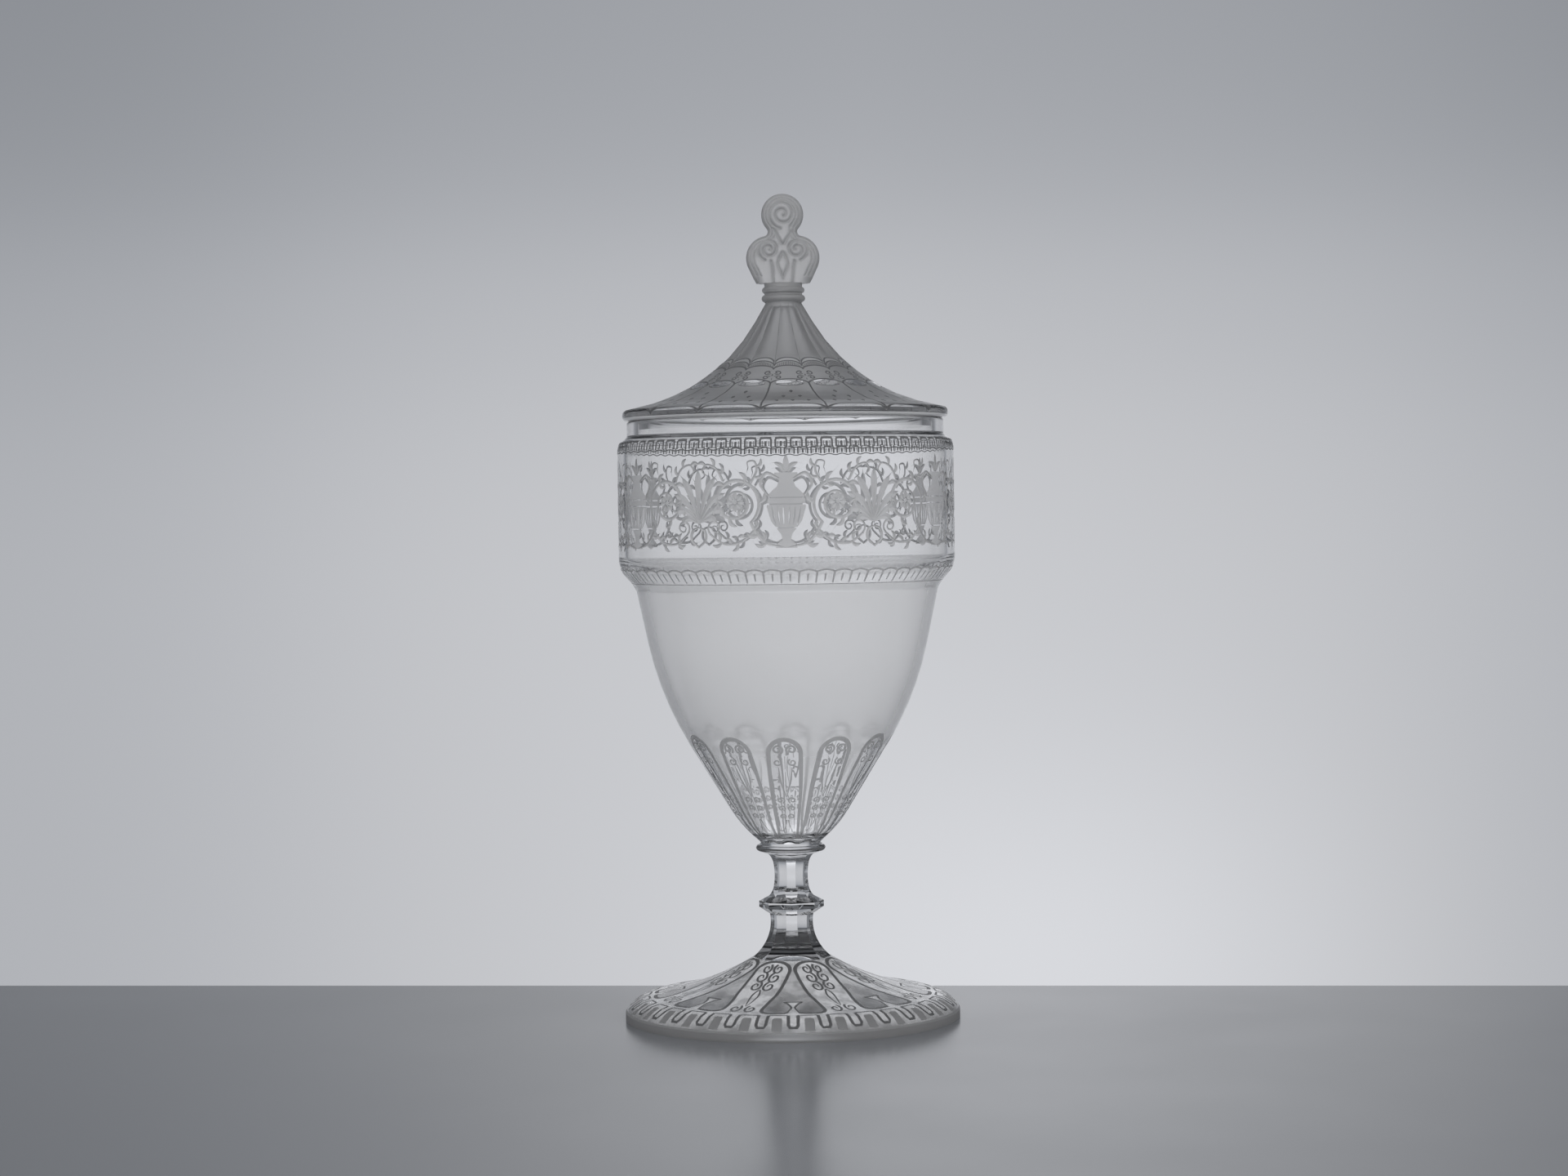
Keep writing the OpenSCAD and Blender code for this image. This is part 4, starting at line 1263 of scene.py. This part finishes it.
def makeFinial():
    shape, outline = finialShape, finialOutline()
    flat, triangles = finialNet(outline)
    count = len(flat)
    rim = distanceTo(flat, outline)
    share = np.minimum(rim / shape["edge"], 1)
    height = shape["thick"] * np.sqrt(1 - (1 - share) ** 2)
    wide = shape["grooveWide"]
    cut = np.zeros(count)
    for groove in finialGrooves():
        cut = np.maximum(cut, np.exp(-(distanceTo(flat, groove) / wide) ** 2))
    for ring in shape["threads"]:
        thread = np.exp(-((rim - ring) / (wide * shape["threadWide"])) ** 2)
        cut = np.maximum(cut, shape["threadDepth"] * thread * (flat[:, 1] > shape["threadLow"]))
    height = np.maximum(height - shape["groove"] * cut, 0) * (rim > 1e-4)

    points = []
    for side in (-1, 1):
        points += [Vector((x, side * h, y + shape["base"])) * mm for (x, y), h in zip(flat, height)]
    faces = [list(t) for t in triangles] + [[i + count for i in reversed(t)] for t in triangles]
    lowest = sorted((i for i in range(count) if flat[i][1] < 1e-6), key=lambda i: flat[i][0])
    faces += [[b, a, a + count, b + count] for a, b in zip(lowest, lowest[1:])]
    mesh = bpy.data.meshes.new("volutedFinial")
    mesh.from_pydata(points, [], faces)
    for paint in ("carvedGlass", "finialShadeGlass", "groundGlass"):
        mesh.materials.append(paints[paint])
    # painted shade: faces next to the outline take the dark ground glass, a wider band and the grooves the
    # darker finial glass, for the dark limb and shaded grooves
    for face, corners in zip(mesh.polygons, faces):
        spot = [i % count for i in corners]
        away = rim[spot].mean()
        paintedDark = away < shape["limbShadeReach"] or cut[spot].mean() > shape["grooveShadeCut"]
        face.material_index = 2 if away < shape["rimShadeReach"] else 1 if paintedDark else 0

    piece = linkPiece("volutedFinial", mesh)
    bpy.ops.object.select_all(action="DESELECT")
    bpy.context.view_layer.objects.active = piece
    piece.select_set(True)
    bpy.ops.object.mode_set(mode="EDIT")
    bpy.ops.mesh.select_all(action="SELECT")
    bpy.ops.mesh.remove_doubles(threshold=1e-6)
    bpy.ops.mesh.dissolve_degenerate(threshold=1e-7)
    bpy.ops.mesh.normals_make_consistent(inside=False)
    bpy.ops.object.mode_set(mode="OBJECT")
    bpy.ops.object.shade_smooth_by_angle(angle=math.radians(shape["crease"]))
    seatPiece(piece, "lid", "finial")
    print("made volutedFinial with", len(mesh.polygons), "faces")


makeFinial()


# table, world and lamp
tableShape = {
    "wide": 3.2, "deep": 2.4, "thick": 0.04, "back": 0.097, "turn": -5.3, "bevel": 0.004, "segments": 3,
    "dark": (0.105, 0.11, 0.117, 1), "light": (0.125, 0.13, 0.136, 1), "cloud": 8.0, "detail": 4.0,
    "cloudSpan": (0.3, 0.7), "rough": (0.18, 0.22),
}


def makeTable():
    shape = tableShape
    bpy.ops.object.select_all(action="DESELECT")
    middle = (0, shape["back"] - shape["deep"] / 2, -shape["thick"] / 2)
    bpy.ops.mesh.primitive_cube_add(size=1, location=middle)
    table = bpy.context.object
    table.name = "greyTable"
    table.scale = (shape["wide"], shape["deep"], shape["thick"])
    bpy.ops.object.transform_apply(location=True, rotation=True, scale=True)
    edge = table.modifiers.new("edge", "BEVEL")
    edge.width = shape["bevel"]
    edge.segments = shape["segments"]
    bpy.ops.object.modifier_apply(modifier="edge")
    pivot = Matrix.Translation((0, shape["back"], 0))
    table.data.transform(pivot @ Matrix.Rotation(math.radians(shape["turn"]), 4, "Z") @ pivot.inverted())
    material = bpy.data.materials.new("tableTop")
    material.use_nodes = True
    tree = material.node_tree
    shader = tree.nodes["Principled BSDF"].inputs
    cloud = objectNoise(tree, shape["cloud"], shape["detail"])
    plug(tree, mixNode(tree, cloud, shape["dark"], shape["light"]), shader["Base Color"])
    plug(tree, rangeNode(tree, cloud, *shape["cloudSpan"], *shape["rough"]), shader["Roughness"])
    table.data.materials.append(material)


# levels of the backdrop, angles in radians from its middle; a spot is (around, width, up, height, level)
skyLight = {
    "tint": (0.985, 1.0, 1.045), "dim": (0.955, 1.0, 1.09), "dimSpan": (0.28, 0.55),
    "middle": 1.5, "plain": 0.9,
    "glow": (0.085, 0.1, -0.14, 0.07, 0.11), "sheen": (0.06, 0.15, 0.16, 0.11, 0.6),
    "around": ((0, 1.0), (0.12, 0.93), (0.25, 0.755), (0.45, 0.42), (0.6, 0.36), (0.8, 0.7), (1.3, 0.8),
               (3.1416, 0.85)),
    "seen": ((0, 1.0), (0.12, 0.93), (0.25, 0.765), (0.42, 0.73), (0.6, 0.725)), "seenReach": 0.6,
    "through": ((0, 1.0), (0.2, 0.97), (0.45, 0.93), (0.56, 0.55), (0.7, 0.2), (1.0, 0.25), (1.6, 0.5),
                (3.1416, 0.8)),
    "upward": ((-0.5, 0.5), (-0.26, 0.55), (-0.141, 0.6), (-0.092, 0.6), (-0.017, 0.595), (0.059, 0.52),
               (0.146, 0.38), (0.42, 0.3), (1.0, 0.26)),
    "upSpan": (-0.5, 1),
}


def lightSpot(tree, around, up, spot):
    # soft round patch of light
    middle, wide, height, tall, level = spot
    spread = []
    for value, centre, size in ((around, middle, wide), (up, height, tall)):
        away = mathNode(tree, "DIVIDE", mathNode(tree, "SUBTRACT", value, centre), size)
        spread.append(mathNode(tree, "MULTIPLY", away, away))
    fall = mathNode(tree, "MULTIPLY", mathNode(tree, "ADD", *spread), -1.0)
    return mathNode(tree, "MULTIPLY", mathNode(tree, "EXPONENT", fall), level)


def makeSky():
    # pale backdrop for camera, glossy and transmission rays; other rays get plain light
    light = skyLight
    world = bpy.data.worlds.new("paleRoom")
    bpy.context.scene.world = world
    world.use_nodes = True
    tree = world.node_tree
    parts = tree.nodes.new("ShaderNodeSeparateXYZ")
    plug(tree, tree.nodes.new("ShaderNodeTexCoord").outputs["Generated"], parts.inputs[0])
    x, y, up = parts.outputs
    rays = tree.nodes.new("ShaderNodeLightPath").outputs
    camera, glossy, through = [rays["Is %s Ray" % kind] for kind in ("Camera", "Glossy", "Transmission")]
    around = mathNode(tree, "ARCTAN2", x, y)
    aside = mathNode(tree, "ABSOLUTE", mathNode(tree, "SUBTRACT", around, math.radians(light["middle"])))
    level = curveNode(tree, aside, 0, math.pi, light["around"])
    for ray, reach, marks in ((camera, light["seenReach"], "seen"), (through, math.pi, "through")):
        level = mixNode(tree, ray, level, curveNode(tree, aside, 0, reach, light[marks]), "FLOAT")
    height = curveNode(tree, up, *light["upSpan"], light["upward"])
    backdrop = mathNode(tree, "MULTIPLY", level, height)
    backdrop = mathNode(tree, "ADD", backdrop, lightSpot(tree, around, up, light["glow"]))
    sheen = mathNode(tree, "MULTIPLY", lightSpot(tree, around, up, light["sheen"]), glossy)
    backdrop = mathNode(tree, "ADD", backdrop, sheen)
    seen = mathNode(tree, "MAXIMUM", mathNode(tree, "MAXIMUM", camera, glossy), through)
    seen = mathNode(tree, "MULTIPLY", seen, mathNode(tree, "LESS_THAN", rays["Diffuse Depth"], 0.5))
    tone = mixNode(tree, seen, light["plain"], backdrop, "FLOAT")
    share = rangeNode(tree, tone, *light["dimSpan"], 0.0, 1.0)
    background = tree.nodes["Background"].inputs
    plug(tree, mixNode(tree, share, (*light["dim"], 1), (*light["tint"], 1)), background["Color"])
    plug(tree, tone, background["Strength"])


lampLight = {"energy": 17.0, "size": 1.5, "place": (0.3, -1.9, 0.9), "aim": (0, 0, 0.18)}


def makeLamp():
    bpy.ops.object.light_add(type="AREA", location=lampLight["place"])
    lamp = bpy.context.object
    lamp.name = "softLamp"
    lamp.data.size = lampLight["size"]
    lamp.data.energy = lampLight["energy"]
    lamp.rotation_euler = (Vector(lampLight["aim"]) - lamp.location).to_track_quat("-Z", "Y").to_euler()
    lamp.visible_glossy = False
    lamp.visible_transmission = False


makeTable()
makeSky()
makeLamp()
scene = bpy.context.scene
scene.view_settings.view_transform = "Standard"
scene.cycles.max_bounces = 32
scene.cycles.transmission_bounces = 24
scene.cycles.transparent_max_bounces = 32
print("stage set")
